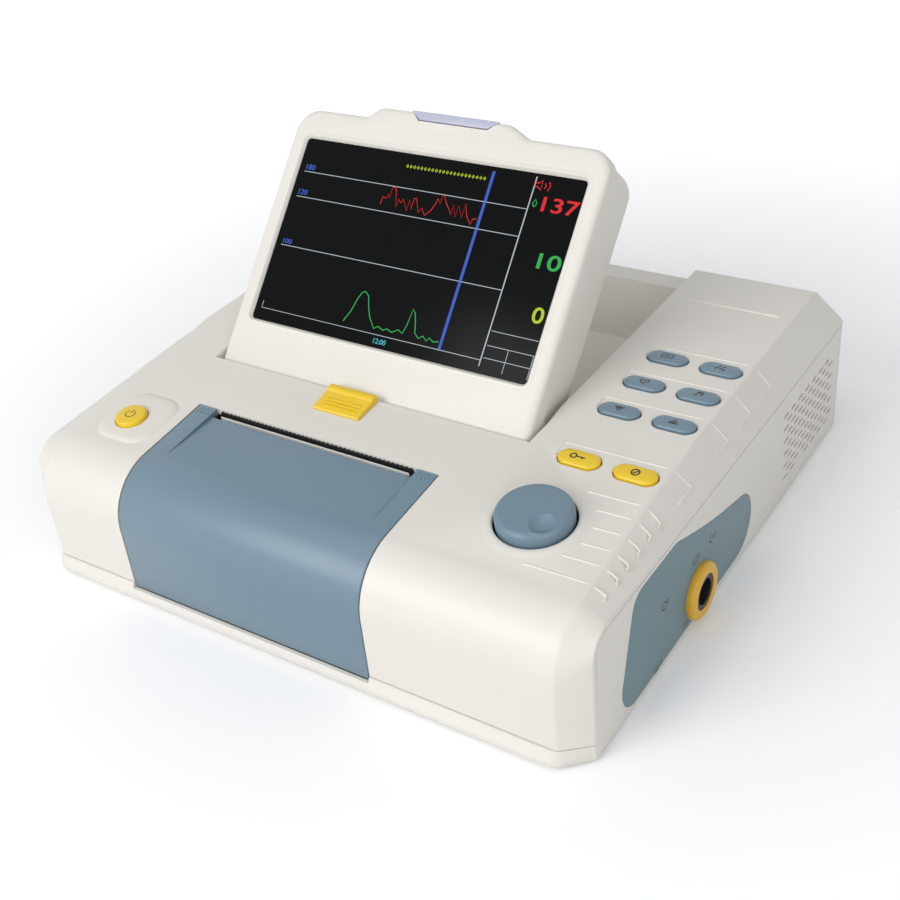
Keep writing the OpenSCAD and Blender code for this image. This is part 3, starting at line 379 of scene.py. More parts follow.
combine(bottom, [moulded("panel_pocket", panel_outline, ((0.0002, -0.0016), (0.0002, 0.002)), SIDE_WALL)])
combine(bottom, [moulded("socket_hole", disc(0.0086), ((0, -0.008), (0, 0.002)), on_wall(*SOCKET))])
wall_cuts = []
for row in range(11):
    for column in range(7):
        y = 0.0635 + column * 0.0088 + (row % 2) * 0.0044 - row * 0.0004
        slit = plate(0.0066, 0.0014, 0.0007)
        steps = ((0, -0.006), (0, -0.0003), (0.0003, 0), (0.0009, 0.001))
        wall_cuts.append(moulded("slit", slit, steps, on_wall(y, 0.0105 + row * 0.0036)))
combine(bottom, wall_cuts)

# Underside: the battery opening, the feet's seats and the screw wells, and the inlet in the rear wall
under = Matrix.Translation((0, 0, 0.0015))
battery = under @ Matrix.Translation((-0.056, 0.06, 0))
under_cuts = [
    moulded("battery_opening", plate(0.0964, 0.0644, 0.004), ((0, -0.004), (0, 0.005)), battery),
    moulded("battery_ledge", plate(0.1024, 0.0704, 0.006), ((0, -0.004), (0, 0.002)), battery),
    box("inlet_opening", (-0.126, 0.13, 0.018), (-0.098, 0.15, 0.038)),
    prism("door_way", [(-0.16, 0.0062), (-0.1215, 0.0062), (-0.1215, 0.02), (-0.16, 0.02)], *DOOR_WAY),
]
for sx in (-1, 1):
    for y in (-0.098, 0.099):
        under_cuts.append(moulded("foot_seat", disc(0.0091), ((0, -0.004), (0, 0.001)),
                                  under @ Matrix.Translation((sx * 0.12, y, 0))))
    for y in (-0.116, 0.119):
        under_cuts.append(moulded("screw_well", disc(0.0032, corners=24), ((0, -0.004), (0, 0.0028)),
                                  under @ Matrix.Translation((sx * 0.132, y, 0))))
for cut in under_cuts:
    combine(bottom, [cut])
dress(bottom, "case", white_abs, "white_abs", "bottom_case")


# Top cover: the white upper half, moulded with the deck, the two consoles and
# the tub in which the display folds down. Its thin raised lines frame the key
# rows and run beside the knob, over the softened edge of the deck.
def deck_z(y):
    """Height of the cover's outer face over the deck."""
    line = [(-0.11434, 0.06473), (-0.04, 0.0732), (-0.028, 0.0733), (-0.016, 0.0751), (0.123, 0.0766)]
    if y < line[0][0]:
        return NOSE[1] + math.sqrt(max(NOSE_R ** 2 - (y - NOSE[0]) ** 2, 0))
    for (a, za), (b, zb) in zip(line, line[1:]):
        if y <= b:
            return za + (zb - za) * (y - a) / (b - a)
    return 0.0766 - (y - 0.123) * 0.0166 / 0.017


def skin(x, y):
    """A point on the cover's outer face, over the deck and its softened sloping edge."""
    z, fall, run = deck_z(y), deck_z(y) - 0.06, SIDE - FLAT
    start, end = FLAT - 0.0042, FLAT + 0.0042 * run / math.hypot(fall, run)
    if x <= start:
        return Vector((x, y, z))
    if x >= end:
        return Vector((x, y, z - fall * (x - FLAT) / run))
    a, b = start - 2 * FLAT + end, 2 * (FLAT - start)
    t = (-b + math.sqrt(b * b - 4 * a * (start - x))) / (2 * a) if abs(a) > 1e-9 else (x - start) / b
    return Vector((x, y, z - (end - FLAT) * fall / run * t * t))


def on_deck(x, y):
    """A place on the cover, with its local Z straight out of the surface."""
    tilt = math.atan2(deck_z(y + 0.001) - deck_z(y - 0.001), 0.002)
    return Matrix.Translation((x, y, deck_z(y))) @ Matrix.Rotation(tilt, 4, "X")


def ridge(name, corners):
    """A thin moulded line that follows the cover through these (x, y) corners."""
    path = []
    line = soften([(x, y, 0) for x, y in corners], 0.0012, 3)
    for a, b in zip(line, line[1:]):
        count = max(1, round((b - a).length / 0.002))
        path += [a.lerp(b, i / count) for i in range(count)]
    path = [skin(p.x, p.y) for p in path + [line[-1]]]
    rings = []
    for i, point in enumerate(path):
        along = (path[min(i + 1, len(path) - 1)] - path[max(i - 1, 0)]).normalized()
        out = (skin(point.x, point.y + 5e-4) - point).cross(skin(point.x + 5e-4, point.y) - point).normalized()
        out = out if out.z > 0 else -out
        across = along.cross(out)
        rings.append([point + across * s * 0.00062 + out * h for s, h in (
            (-1, -0.0004), (-0.8, 0.0001), (-0.35, 0.00034), (0.35, 0.00034), (0.8, 0.0001), (1, -0.0004))])
    return loft(name, rings)


KEY_XS, KEY_YS, YELLOW_Y = (0.0952, 0.1205), (0.0378, 0.014, -0.0098), -0.0457
KNOB, KNOB_R = (0.0964, -0.084), 0.016
POWER, POWER_R = (-0.1087, -0.0972), 0.0074
RECESS_X = (-0.1042, 0.0702)
cover = case_block("top_cover_shell", 0, True)
combine(cover, [prism("away", below_seam(0), -0.2, 0.2)])
combine(cover, [case_block("hollow", WALL)])
tub = [(-0.0459, 0.0705), (-0.0459, 0.0491), (-0.0382, 0.0391), (0.1028, 0.0391), (0.1242, 0.061), (0.1376, 0.061),
       (0.1345, 0.0645), (0.123, 0.0735)]
combine(cover, [prism("tub", tub, -0.1072, 0.0732)], "UNION")
collar = ((0.0066, -0.001), (0.006, 0), (0.0046, 0.0006), (0.003, 0.001), (0.0014, 0.0011), (0.001, 0.0011))
well = ((0.001, -0.008), (0.001, 0.0006), (0.0013, 0.0009), (0.0019, 0.0011), (0.003, 0.002))
combine(cover, [moulded("knob_collar", disc(KNOB_R, corners=72), collar, on_deck(*KNOB))], "UNION")
pad = ((0.0032, -0.001), (0.0027, 0), (0.0017, 0.0006), (0.0006, 0.001), (-0.0006, 0.0012), (-0.004, 0.00125))
combine(cover, [moulded("power_pad", plate(0.026, 0.028, 0.007, (0.002, 0.002)), pad, on_deck(*POWER))], "UNION")
recess = [(-0.0429, 0.09), (-0.0429, 0.0501), (-0.0369, 0.0421), (0.1014, 0.0421), (0.123, 0.064), (0.16, 0.064),
          (0.16, 0.09)]
combine(cover, [prism("recess", recess, *RECESS_X)])
front = [(-0.16, 0), (-0.0756, 0), (-0.0756, 0.09), (-0.16, 0.09)]
combine(cover, [prism("door_opening", front, *DOOR_WAY)])


def key_outline(grow):
    """A key's long oval with softly pointed ends."""
    a, b = 0.0095 + grow, 0.0045 + grow
    end = [(0.005 + (a - 0.005) * math.sin(t), b * math.cos(t) ** 1.25) for t in
           (math.radians(k * 9) for k in range(10))]
    right = end + [(x, -y) for x, y in end[-2::-1]]
    return right + [(-x, y) for x, y in right[::-1]]


rim = ((0.0004, -0.02), (0.0004, -0.0006), (0.0006, -0.0002), (0.0011, 0.0001), (0.0022, 0.001))
deck_cuts = [moulded("key_hole", key_outline, rim, on_deck(x, y)) for x in KEY_XS for y in (*KEY_YS, YELLOW_Y)]
deck_cuts.append(moulded("knob_well", disc(KNOB_R, corners=72), well, on_deck(*KNOB)))
power_rim = ((0.0003, -0.02), (0.0003, 0.0008), (0.0006, 0.0012), (0.0012, 0.0016), (0.002, 0.002))
deck_cuts.append(moulded("power_hole", disc(POWER_R), power_rim, on_deck(*POWER)))
field = ((-0.0002, -0.0007), (0, -0.0002), (0.0008, 0.0008))
deck_cuts.append(moulded("bare_field", plate(0.0444, 0.022, 0.001), field, on_deck(0.1036, 0.0824)))
combine(cover, deck_cuts)
lines = []
for y in (*KEY_YS, YELLOW_Y):
    lines.append(ridge("key_bracket", [(0.0842, y - 0.0015), (0.0842, y + 0.0082), (0.1325, y + 0.009),
                                       (0.1396, y + 0.0115), (0.1396, y - 0.0005)]))
for start, lift in ((0.0113, 0.0226), (0.0192, 0.0143), (0.0224, 0.005), (0.0224, -0.0043), (0.0188, -0.0128),
                    (0.0075, -0.0225)):
    y = KNOB[1] + lift
    lines.append(ridge("grip_line", [(KNOB[0] + start, y), (0.1325, y + 0.0006), (0.1386, y + 0.0006),
                                     (0.1388, y - 0.0022)]))
cover = join([cover, *lines])
start_edit(cover)
pick_edges(cover, lambda co: min(abs(co.x - x) for x in RECESS_X) < 1e-5 and co.z > deck_z(co.y) - 3e-4)
bpy.ops.mesh.bevel(offset=0.0012, segments=3, profile=0.5, affect="EDGES")
bpy.ops.object.mode_set(mode="OBJECT")
dress(cover, "case", white_abs, "white_abs", "top_cover")


# Display frame: a moulded white bezel whose foot rolls into the hinge barrel,
# with a raised tab along its top for the alarm light. It clips to its back
# cover, and a fine groove shows where the two meet.
DISPLAY = Matrix.Translation((-0.017, -0.0323, 0.066)) @ Matrix.Rotation(math.radians(-41.8), 4, "X")
UPRIGHT = DISPLAY @ Matrix(((1, 0, 0, 0), (0, 0, -1, 0), (0, 1, 0, 0), (0, 0, 0, 1)))
BARREL = DISPLAY @ Matrix.Rotation(math.radians(90), 4, "Y")


def display_outline(grow):
    """The display from the front: two round corners, and the raised tab between its sloping ends."""
    half, top, r = 0.0852 + grow, 0.1267 + grow, 0.012 + grow / 2
    left, right = -0.0412 - grow, 0.0328 + grow
    tab = [(right + 0.012, top, 0), (right + 0.009, top, 0), (right, top + 0.0045, 0), (right - 0.003, top + 0.0055, 0),
           (left + 0.003, top + 0.0055, 0), (left, top + 0.0045, 0), (left - 0.005, top, 0), (left - 0.008, top, 0)]
    tab = [(p.x, p.y) for p in soften(tab, 0.0014, 3)]
    return [(-half, 0), (half, 0)] + arc((half - r, top - r), r, 0, 90, 8) + tab + \
        arc((r - half, top - r), r, 90, 180, 8)


def light_outline(grow):
    """The alarm light: a flat trapezium that reaches over the top edge."""
    return [(-0.0167 - grow, 0.1276 - grow), (0.0203 + grow, 0.1276 - grow), (0.0258 + grow, 0.1322),
            (0.0258 + grow, 0.1335), (-0.0222 - grow, 0.1335), (-0.0222 - grow, 0.1322)]


picture = plate(0.1524, 0.0914, 0.002, (0, 0.0664))
front_edge = ((0, 0.0073), (-0.0004, 0.0087), (-0.0012, 0.0096), (-0.0028, 0.0101))
bezel = moulded("display_frame_shell", display_outline,
                ((-0.0009, 0.0001), (-0.0009, 0.0008), (0, 0.0013), *front_edge), UPRIGHT)
ends = [(-0.0028, -0.0852), (-0.0012, -0.0847), (-0.0004, -0.0838), (0, -0.0824)]
barrel = moulded("barrel", disc(0.0101, corners=64), [*ends, *[(g, -x) for g, x in ends[::-1]]], BARREL)
combine(bezel, [barrel], "UNION")
bead = ((0.003, 0.0094), (0.0029, 0.01015), (0.0025, 0.01035), (0.0012, 0.01035))
combine(bezel, [moulded("bead", picture, bead, UPRIGHT)], "UNION")
combine(bezel, [moulded("hollow", plate(0.164, 0.112, 0.006, (0, 0.0665)), ((0, -0.001), (0, 0.0066)), UPRIGHT)])
combine(bezel, [moulded("window_seat", plate(0.1586, 0.0976, 0.002, (0, 0.0664)), ((0, 0.006), (0, 0.00865)), UPRIGHT)])
opening = ((0, 0.008), (0, 0.0088), (0.0004, 0.0094), (0.0014, 0.0106))
combine(bezel, [moulded("picture_opening", picture, opening, UPRIGHT)])
combine(bezel, [moulded("light_pocket", light_outline, ((0.0001, 0.0061), (0.0001, 0.0111)), UPRIGHT)])
dress(bezel, "display", white_abs, "white_abs", "display_frame", smooth=35)


# Display back: the moulded white cover behind the screen, screwed to the frame
# through four wells, with a row of vents and a foot that clears the hinge.
profile = [(-0.0001, 0.0099), (0.0179, 0.0005), (0.0219, 0.004), (0.0219, 0.1007), (0.0169, 0.1312), (0.0139, 0.1322),
           (-0.0001, 0.1322)]
back = prism("display_back_shell", profile, -0.09, 0.09)
back.data.transform(DISPLAY)
rear_edge = ((-0.0012, 0.0001), (-0.0012, -0.0166), (-0.0017, -0.0192), (-0.003, -0.021), (-0.0056, -0.0219))
combine(back, [moulded("rounded", display_outline, rear_edge, UPRIGHT)], "INTERSECT")
combine(back, [moulded("hollow", plate(0.162, 0.108, 0.006, (0, 0.0685)), ((0, -0.0155), (0, 0.001)), UPRIGHT)])
back_cuts = [moulded("screw_well", disc(0.0035, (x, z), 24), ((0, -0.0185), (0, -0.0216), (0.0006, -0.023)), UPRIGHT)
             for x in (-0.072, 0.072) for z in (0.014, 0.096)]
back_cuts += [moulded("vent", plate(0.0016, 0.014, 0.0008, (x * 0.0044, 0.084)), ((0, -0.014), (0, -0.0217),
                      (0.0005, -0.0225)), UPRIGHT) for x in range(-9, 10)]
combine(back, back_cuts)
dress(back, "display", white_abs, "white_abs", "display_back", smooth=35)


# Screen picture: what the panel shows under its glossy black window, drawn just
# over the glass. The traces and figures glow by themselves.
def glow(name, colour, strength=0.9):
    """A lit colour of the panel: it shines evenly, so its roughness hardly counts."""
    material, tree, shader = new_material(name, "#050505", 0.4, Emission_Strength=strength, Specular_IOR_Level=0.1)
    shader.inputs["Emission Color"].default_value = linear(colour)
    place = add_node(tree, "ShaderNodeTexCoord")
    grain = add_node(tree, "ShaderNodeTexNoise", [("Vector", place.outputs["Object"])], Scale=2500.0)
    rough = add_node(tree, "ShaderNodeMapRange", [("Value", grain.outputs["Fac"])], To_Min=0.35, To_Max=0.5)
    tree.links.new(rough.outputs["Result"], shader.inputs["Roughness"])
    return material


def to_mesh(piece, place):
    """Turns a text or curve object into a mesh and puts its mesh in its place."""
    bpy.ops.object.select_all(action="DESELECT")
    bpy.context.view_layer.objects.active = piece
    piece.select_set(True)
    bpy.ops.object.convert(target="MESH")
    piece = bpy.context.object
    piece.data.transform(place)
    return piece


def drawn(name, lines, width, place, depth=0.00006):
    """Thin strokes along lines of (x, y), flattened on to a face: points and width in mm, depth in metres."""
    curve = bpy.data.curves.new(name, "CURVE")
    curve.dimensions = "3D"
    curve.bevel_depth = width / 2000
    curve.bevel_resolution = 0
    curve.use_fill_caps = True
    for line in lines:
        spline = curve.splines.new("POLY")
        spline.points.add(len(line) - 1)
        for point, (x, y) in zip(spline.points, line):
            point.co = (x / 1000, y / 1000, 0, 1)
    piece = bpy.data.objects.new(name, curve)
    bpy.context.collection.objects.link(piece)
    return to_mesh(piece, place @ Matrix.Diagonal((1, 1, depth * 2000 / width, 1)))


def figures(name, text, low, high, place):
    """Digits that fill a box from low to high, as (x, y) in millimetres."""
    curve = bpy.data.curves.new(name, "FONT")
    curve.body = text
    curve.offset = 0.012
    curve.extrude = 0.02
    curve.resolution_u = 4
    piece = bpy.data.objects.new(name, curve)
    bpy.context.collection.objects.link(piece)
    piece = to_mesh(piece, Matrix())
    xs, ys = [v.co.x for v in piece.data.vertices], [v.co.y for v in piece.data.vertices]
    sx = (high[0] - low[0]) / 1000 / (max(xs) - min(xs))
    sy = (high[1] - low[1]) / 1000 / (max(ys) - min(ys))
    shift = Matrix.Translation((low[0] / 1000 - min(xs) * sx, low[1] / 1000 - min(ys) * sy, 0))
    piece.data.transform(place @ shift @ Matrix.Diagonal((sx, sy, 0.002, 1)))
    return piece


def screen_piece(name, parts, material):
    """Joins what glows in one colour and fixes it to the display."""
    piece = join(parts)
    piece.name = piece.data.name = name
    dress(piece, "display", material, "screen_glass", smooth=20)


GLASS = UPRIGHT @ Matrix.Translation((0, 0, 0.00866))
screen_piece("screen_grid_lines", [
    drawn("lines", [[(-72.8, 95.7), (50.9, 95.7)], [(-72.8, 83.1), (50.9, 83.1)], [(-72.8, 58.5), (50.9, 58.5)],
                    [(-72.5, 30), (-72.5, 26.7), (51.3, 26.7)]], 0.34, GLASS),
    drawn("divider", [[(51.3, 110.6), (51.3, 24)]], 0.6, GLASS),
    drawn("column_lines", [[(52.3, 40.2), (75.6, 40.2)], [(52.3, 33.6), (75.6, 33.6)], [(52.3, 28), (75.6, 28)],
                           [(63.2, 33.6), (63.2, 23)], [(75.6, 33.6), (75.6, 23)]], 0.3, GLASS)],
    glow("white_panel_light", "#c8d2dc", 0.8))
screen_piece("screen_scale_figures", [
    figures("scale", "180", (-72.3, 96.7), (-67, 99.4), GLASS),
    figures("scale", "120", (-72.3, 84.2), (-67, 86.8), GLASS),
    figures("scale", "100", (-72.3, 59.4), (-67, 61.8), GLASS),
    drawn("cursor", [[(29.6, 110), (29.6, 27)]], 1.5, GLASS)], glow("blue_panel_light", "#4463c8", 0.9))
red_trace = [(-24.3, 86.5), (-24, 90), (-22, 89.5), (-21.5, 91.5), (-20.2, 90), (-20.3, 95.5), (-18, 94.6), (-15.4, 86),
             (-15, 90), (-13.5, 88.6), (-12.5, 90.5), (-9.2, 85.5), (-9.2, 90.5), (-6.9, 86.5), (-7, 91.5), (-5.8, 92),
             (-2.7, 85.5), (-1.5, 88), (1, 84.8), (3.5, 87.5), (5, 91), (5.5, 93.5), (7.3, 91.5), (7.6, 96), (11, 91.5),
             (14.4, 87.5), (14.4, 92), (17, 86.5), (17.2, 92), (20.3, 87), (20.4, 93.5), (22.7, 88), (25.7, 84.4),
             (26.2, 87), (28, 87.6)]
screen_piece("screen_heart_trace", [
    drawn("trace", [red_trace], 0.42, GLASS), figures("rate", "137", (57.6, 95.7), (75.6, 102.4), GLASS),
    drawn("speaker_sign", [[(51.2, 106.2), (53, 106.2), (54.8, 104.9), (54.8, 109.2), (53, 107.9), (51.2, 107.9),
                            (51.2, 106.2)], [(56.4, 105.8), (57, 107), (56.4, 108.2)],
                           [(58.2, 105), (59.1, 107), (58.2, 109)]], 0.5, GLASS)],
    glow("red_panel_light", "#e62b30", 0.9))
green_trace = [(-24.5, 29.4), (-22, 34.5), (-20.5, 40.5), (-19, 44), (-17.5, 45), (-15, 43.4), (-13.2, 38.5), (-11, 34),
               (-7, 29.2), (-5, 30.6), (-2, 29.4), (0, 30.4), (3, 29.4), (6, 31.2), (8.6, 30), (9.7, 34), (10.5, 41.8),
               (12, 40.4), (13.5, 36.6), (15, 31.5), (17.5, 29.5), (19.5, 31), (22, 29.2), (23, 30.9), (25.5, 29.5),
               (28.2, 30.2)]
screen_piece("screen_toco_trace", [
    drawn("trace", [green_trace], 0.5, GLASS), figures("toco", "10", (63.8, 70.8), (75.2, 77.8), GLASS),
    drawn("drop", [[(53.6, 97.4), (53, 98.8), (54, 100.6), (55, 98.8), (54.4, 97.4), (53.6, 97.4)]], 0.5, GLASS)],
    glow("green_panel_light", "#35b458", 0.9))
diamonds = []
for k in range(22):
    x = -15.9 + k * 1.99
    diamonds.append([(x, 105.4), (x + 0.55, 106.1), (x, 106.8), (x - 0.55, 106.1), (x, 105.4)])
screen_piece("screen_movement_marks", [
    drawn("marks", diamonds, 0.42, GLASS), figures("count", "0", (69, 47.4), (74.6, 54.6), GLASS)],
    glow("lime_panel_light", "#b9d433", 0.9))
screen_piece("screen_clock", [figures("clock", "12:00", (-5.2, 22.7), (1.6, 25.1), GLASS)],
             glow("cyan_panel_light", "#55c6d8", 0.8))


# Alarm light: a clear polycarbonate bar in the tab. It looks pale lilac grey,
# because light enters it and scatters before it comes out again.
alarm_plastic, tree, shader = new_material(
    "translucent_polycarbonate", "#babdd0", 0.28, IOR=1.585, Subsurface_Weight=0.35, Subsurface_Scale=0.003)
place = add_node(tree, "ShaderNodeTexCoord")
ribs = add_node(tree, "ShaderNodeTexWave", [("Vector", place.outputs["Object"])], Scale=300.0, Distortion=0.4)
bump = add_node(tree, "ShaderNodeBump", [("Height", ribs.outputs["Fac"])], Strength=0.2, Distance=0.0001)
tree.links.new(bump.outputs["Normal"], shader.inputs["Normal"])
light_bar = moulded("alarm_light_bar", lambda grow: [
    (-0.0167 - grow, 0.1277 - grow), (0.0203 + grow, 0.1277 - grow), (0.0258 + grow, 0.1319 + grow / 2),
    (0.0252 + grow, 0.1323 + grow / 2), (-0.0216 - grow, 0.1323 + grow / 2), (-0.0222 - grow, 0.1319 + grow / 2)],
    ((-0.0003, 0.0066), (-0.0003, 0.0099), (-0.0006, 0.0102), (-0.0011, 0.0103)), UPRIGHT)
dress(light_bar, "display", alarm_plastic, "lens_plastic", "alarm_lens")


# Printer door: a blue-grey ABS lid over the chart paper. It swings on pins at
# its two lower corners, and its cheeks carry the platen roller behind its edge.
# The middle is set down a little, so that the paper slides out between two rails.

# Satin blue-grey ABS gives the door one soft band of light along its nose.
slate_abs = moulded_abs("slate_satin_abs", "#6f8796", 0.38, 0.0005)
DOOR_X = (-0.0851, 0.0459)
outer = [(-0.1374, 0.0066)] + arc(NOSE, NOSE_R, 180, 96.5, 16) + [(-0.0762, deck_z(-0.0762))]
inner = [(-0.0762, deck_z(-0.0762) - WALL)] + arc(NOSE, 0.023, 96.5, 180, 16) + [(-0.1344, 0.0066)]
door = prism("printer_door_shell", outer + inner, *DOOR_X)
lowered = [(-0.1104, deck_z(-0.1104)), (-0.08, deck_z(-0.08) - 0.0016), (-0.07, deck_z(-0.07) - 0.0016), (-0.07, 0.09),
           (-0.1104, 0.09)]
combine(door, [prism("lowered_panel", lowered, -0.0751, 0.0359)])
combine(door, [box("paper_slot", (-0.0751, -0.0801, 0.05), (0.0359, -0.07, 0.09))])
start_edit(door)
pick_edges(door, lambda co: min(abs(co.x - x) for x in DOOR_X) < 1e-5
           and math.hypot(co.y - NOSE[0], co.z - NOSE[1]) > NOSE_R - 0.0005)
bpy.ops.mesh.bevel(offset=0.0006, segments=3, profile=0.5, affect="EDGES")
bpy.ops.object.mode_set(mode="OBJECT")
door_parts = [door]
cheek = [(-0.1368, 0.0105), (-0.1275, 0.009), (-0.117, 0.0245), (-0.0799, 0.0522), (-0.0799, 0.067), (-0.1105, 0.0636),
         (-0.1225, 0.0608), (-0.1322, 0.0518), (-0.1368, 0.0398)]
for x0 in (-0.0841, 0.0424):
    part = prism("door_cheek", cheek, x0, x0 + 0.0025)
    cuts = [loft("bore", [[(x, y, z) for y, z in arc(place, r, 0, 360 * 23 / 24, 23)] for x in (-0.1, 0.1)])
            for place, r in ((PIVOT, 0.0021), ((-0.084925, 0.05768), 0.0051))]
    for cut in cuts:
        combine(part, [cut])
    door_parts.append(part)
for side, x in ((-1, -0.0801), (1, 0.0409)):
    for k in range(8):
        spot = on_deck(x + (k % 4 - 1.5) * 0.002, -0.0783 - k // 4 * 0.0024)
        door_parts.append(moulded("grip_dot", disc(0.0007, corners=16), ((0, -0.0002), (-0.0001, 0.0002),
                                  (-0.0004, 0.00045)), spot))
    door_parts.append(moulded("rail_edge", plate(0.0004, 0.0285, 0.0002), ((0, -0.0003), (0, 0.00015)),
                              on_deck(x - side * 0.0049, -0.0945)))
door = join(door_parts)
dress(door, "door", slate_abs, "slate_abs", "printer_door")


# Door latch: a yellow ABS slide that frees the door when it is drawn back. Its
# raised rear strip gives the fingertip its grip.

# Semi-gloss yellow ABS takes a brighter and tighter highlight than the case.
yellow_abs = moulded_abs("yellow_semi_gloss_abs", "#efc91a", 0.3, 0.0005)
LATCH = on_deck(-0.0196, -0.0512)
latch_side = [(-8, 0.15), (8, 0.15), (8, 2.6), (7.6, 3.2), (7, 3.5), (6, 3.6), (4.8, 3.6), (4.1, 3.3), (3.4, 2.5),
              (2.4, 2.3), (-6.6, 1.6), (-7.5, 1.4), (-8, 0.9)]
latch_rings = [[LATCH @ Vector((x, y / 1000 * k, z / 1000 * (k if z > 0.2 else 1))) for y, z in latch_side]
               for x, k in ((-0.0125, 0.95), (-0.0121, 1), (0.0121, 1), (0.0125, 0.95))]
latch = loft("latch_slide", latch_rings)
parts = [latch, moulded("stem", plate(0.0078, 0.0058, 0.0008, (0, -0.002)), ((0, -0.0042), (0, 0.0006)), LATCH)]
for k in range(3):
    parts.append(moulded("grip_rib", plate(0.019, 0.0006, 0.0003, (0, -0.0052 + k * 0.0021)),
                         ((0, 0.0012), (0, 0.00215 + k * 0.00014), (-0.0002, 0.0023 + k * 0.00014)), LATCH))
latch = join(parts)
dress(latch, "latch", yellow_abs, "yellow_abs", "latch_button")


# Knob: a moulded blue-grey ABS cap, pushed on to the encoder's shaft. A dimple
# near its edge lets it be spun with one finger.
knob_rings = ((-0.0007, -0.0028), (0, -0.0022), (0, 0.0034), (-0.0002, 0.0044), (-0.0007, 0.0052), (-0.0013, 0.0057),
              (-0.0022, 0.006), (-0.0032, 0.00605))
knob = moulded("knob_cap", disc(KNOB_R, corners=96), knob_rings, on_deck(*KNOB))
combine(knob, [moulded("shaft_bore", disc(0.0032, corners=32), ((0, -0.004), (0, 0.0022)), on_deck(*KNOB))])
BALL_R, DIMPLE_DEPTH = 0.009, 0.0019
dimple = on_deck(*KNOB) @ Matrix.Translation((0.0074, -0.0062, 0.006 + BALL_R - DIMPLE_DEPTH))
bpy.ops.object.select_all(action="DESELECT")
bpy.ops.mesh.primitive_uv_sphere_add(segments=96, ring_count=64, radius=BALL_R)
ball = bpy.context.object
ball.data.transform(dimple)
combine(knob, [ball])
dress(knob, "knob", slate_abs, "slate_abs", "knob", smooth=24)


# Keys: six blue-grey and two yellow ABS caps that press on the silicone mat under
# the cover. The signs are hot-stamped in black, slightly glossier than the cap.
hot_foil, tree, shader = new_material("black_stamped_foil", "#17191c", 0.3, IOR=1.5)
place = add_node(tree, "ShaderNodeTexCoord")
flecks = add_node(tree, "ShaderNodeTexNoise", [("Vector", place.outputs["Object"])], Scale=3000.0, Detail=2.0)
rough = add_node(tree, "ShaderNodeMapRange", [("Value", flecks.outputs["Fac"])], To_Min=0.25, To_Max=0.45)
tree.links.new(rough.outputs["Result"], shader.inputs["Roughness"])
circle = [(math.cos(math.radians(a)), math.sin(math.radians(a))) for a in range(0, 361, 30)]
SIGNS = {
    (0, 0): [[(-2.6, -1.4), (-2.6, 1.5), (2.6, 1.5), (2.6, -1.4), (-2.6, -1.4)], [(-1.4, 0), (1.4, 0)]],
    (0, 1): [[(-2.4, -1.5), (-0.2, 1.6)], [(-0.2, -1.5), (2, 1.6)], [(0.9, -1.5), (2.6, -1.5)]],
    (1, 0): [[(0, -1.7), (-2.2, 0.5), (-1.5, 1.6), (0, 0.7), (1.5, 1.6), (2.2, 0.5), (0, -1.7)]],
    (1, 1): [[(-1.8, -1.2), (-0.6, -1.2), (-0.6, 1.7), (1.8, 1.7), (1.8, -0.6), (0.8, -0.6)],
             [(-0.6, 0.9), (1.8, 0.9)]],
    (2, 0): [[(-2.2, 1.3), (2.2, 1.3), (0, -1.6), (-2.2, 1.3)], [(-1, 0.7), (1, 0.7)], [(-0.5, 0), (0.5, 0)]],
    (2, 1): [[(-2.2, -1.3), (2.2, -1.3), (0, 1.6), (-2.2, -1.3)], [(-1, -0.7), (1, -0.7)], [(-0.5, 0), (0.5, 0)]],
    (3, 0): [[(-2.4 + 1.3 * x, 1.3 * y) for x, y in circle], [(-1, 0), (2.8, 0)], [(1.6, 0), (1.6, -0.9)]],
    (3, 1): [[(1.7 * x, 1.7 * y) for x, y in circle], [(-0.8, -0.8), (0.8, 0.8)]],
}
key_rings = ((0.001, -0.0046), (0.001, -0.0034), (0, -0.0034), (0, 0.0006), (-0.0003, 0.001), (-0.0009, 0.0013),
             (-0.002, 0.0015), (-0.0032, 0.00158))
for row, y in enumerate((*KEY_YS, YELLOW_Y)):
    for column, x in enumerate(KEY_XS):
        side = ("left", "right")[column]
        body = "key_%d_%s" % (row + 1, side) if row < 3 else "key_yellow_" + side
        cap = moulded(body + "_cap", key_outline, key_rings, on_deck(x, y))
        foot = moulded("foot", plate(0.008, 0.004, 0.0019), ((0, -0.0072 if row < 3 else -0.0049), (0, -0.0044)),
                       on_deck(x, y))
        dress(join([cap, foot]), body, slate_abs if row < 3 else yellow_abs, "slate_abs" if row < 3 else "yellow_abs",
              body, smooth=24)
        on_cap = on_deck(x, y) @ Matrix.Translation((0, 0, 0.0016))
        sign = drawn(body + "_sign", SIGNS[row, column], 0.75, on_cap, 0.00004)
        dress(sign, body, hot_foil, "black_plastic", smooth=20)


# Power button: a round yellow ABS cap in the raised pad at the front left. The
# usual sign for power, a broken ring with a stroke, is stamped on it.
power_rings = ((0.0016, -0.0045), (0.0016, -0.0034), (0, -0.0034), (0, 0.0022), (-0.0002, 0.0027), (-0.0007, 0.0031),
               (-0.0016, 0.0033), (-0.0032, 0.0034))
power = moulded("power_cap", disc(POWER_R, corners=64), power_rings, on_deck(*POWER))
dress(power, "power_button", yellow_abs, "yellow_abs", "power_button", smooth=24)
ring = [(2.3 * math.sin(math.radians(a)), 2.3 * math.cos(math.radians(a))) for a in range(35, 326, 15)]
on_cap = on_deck(*POWER) @ Matrix.Translation((0, 0, 0.0034))
sign = drawn("power_sign", [ring, [(0, 0.6), (0, 3.1)]], 0.5, on_cap, 0.00004)
dress(sign, "power_button", hot_foil, "black_plastic", smooth=20)


# Connector panel: a blue-grey ABS leaf pressed into its pocket in the side wall,
# with one signal socket and five small black marks where leads may be led.

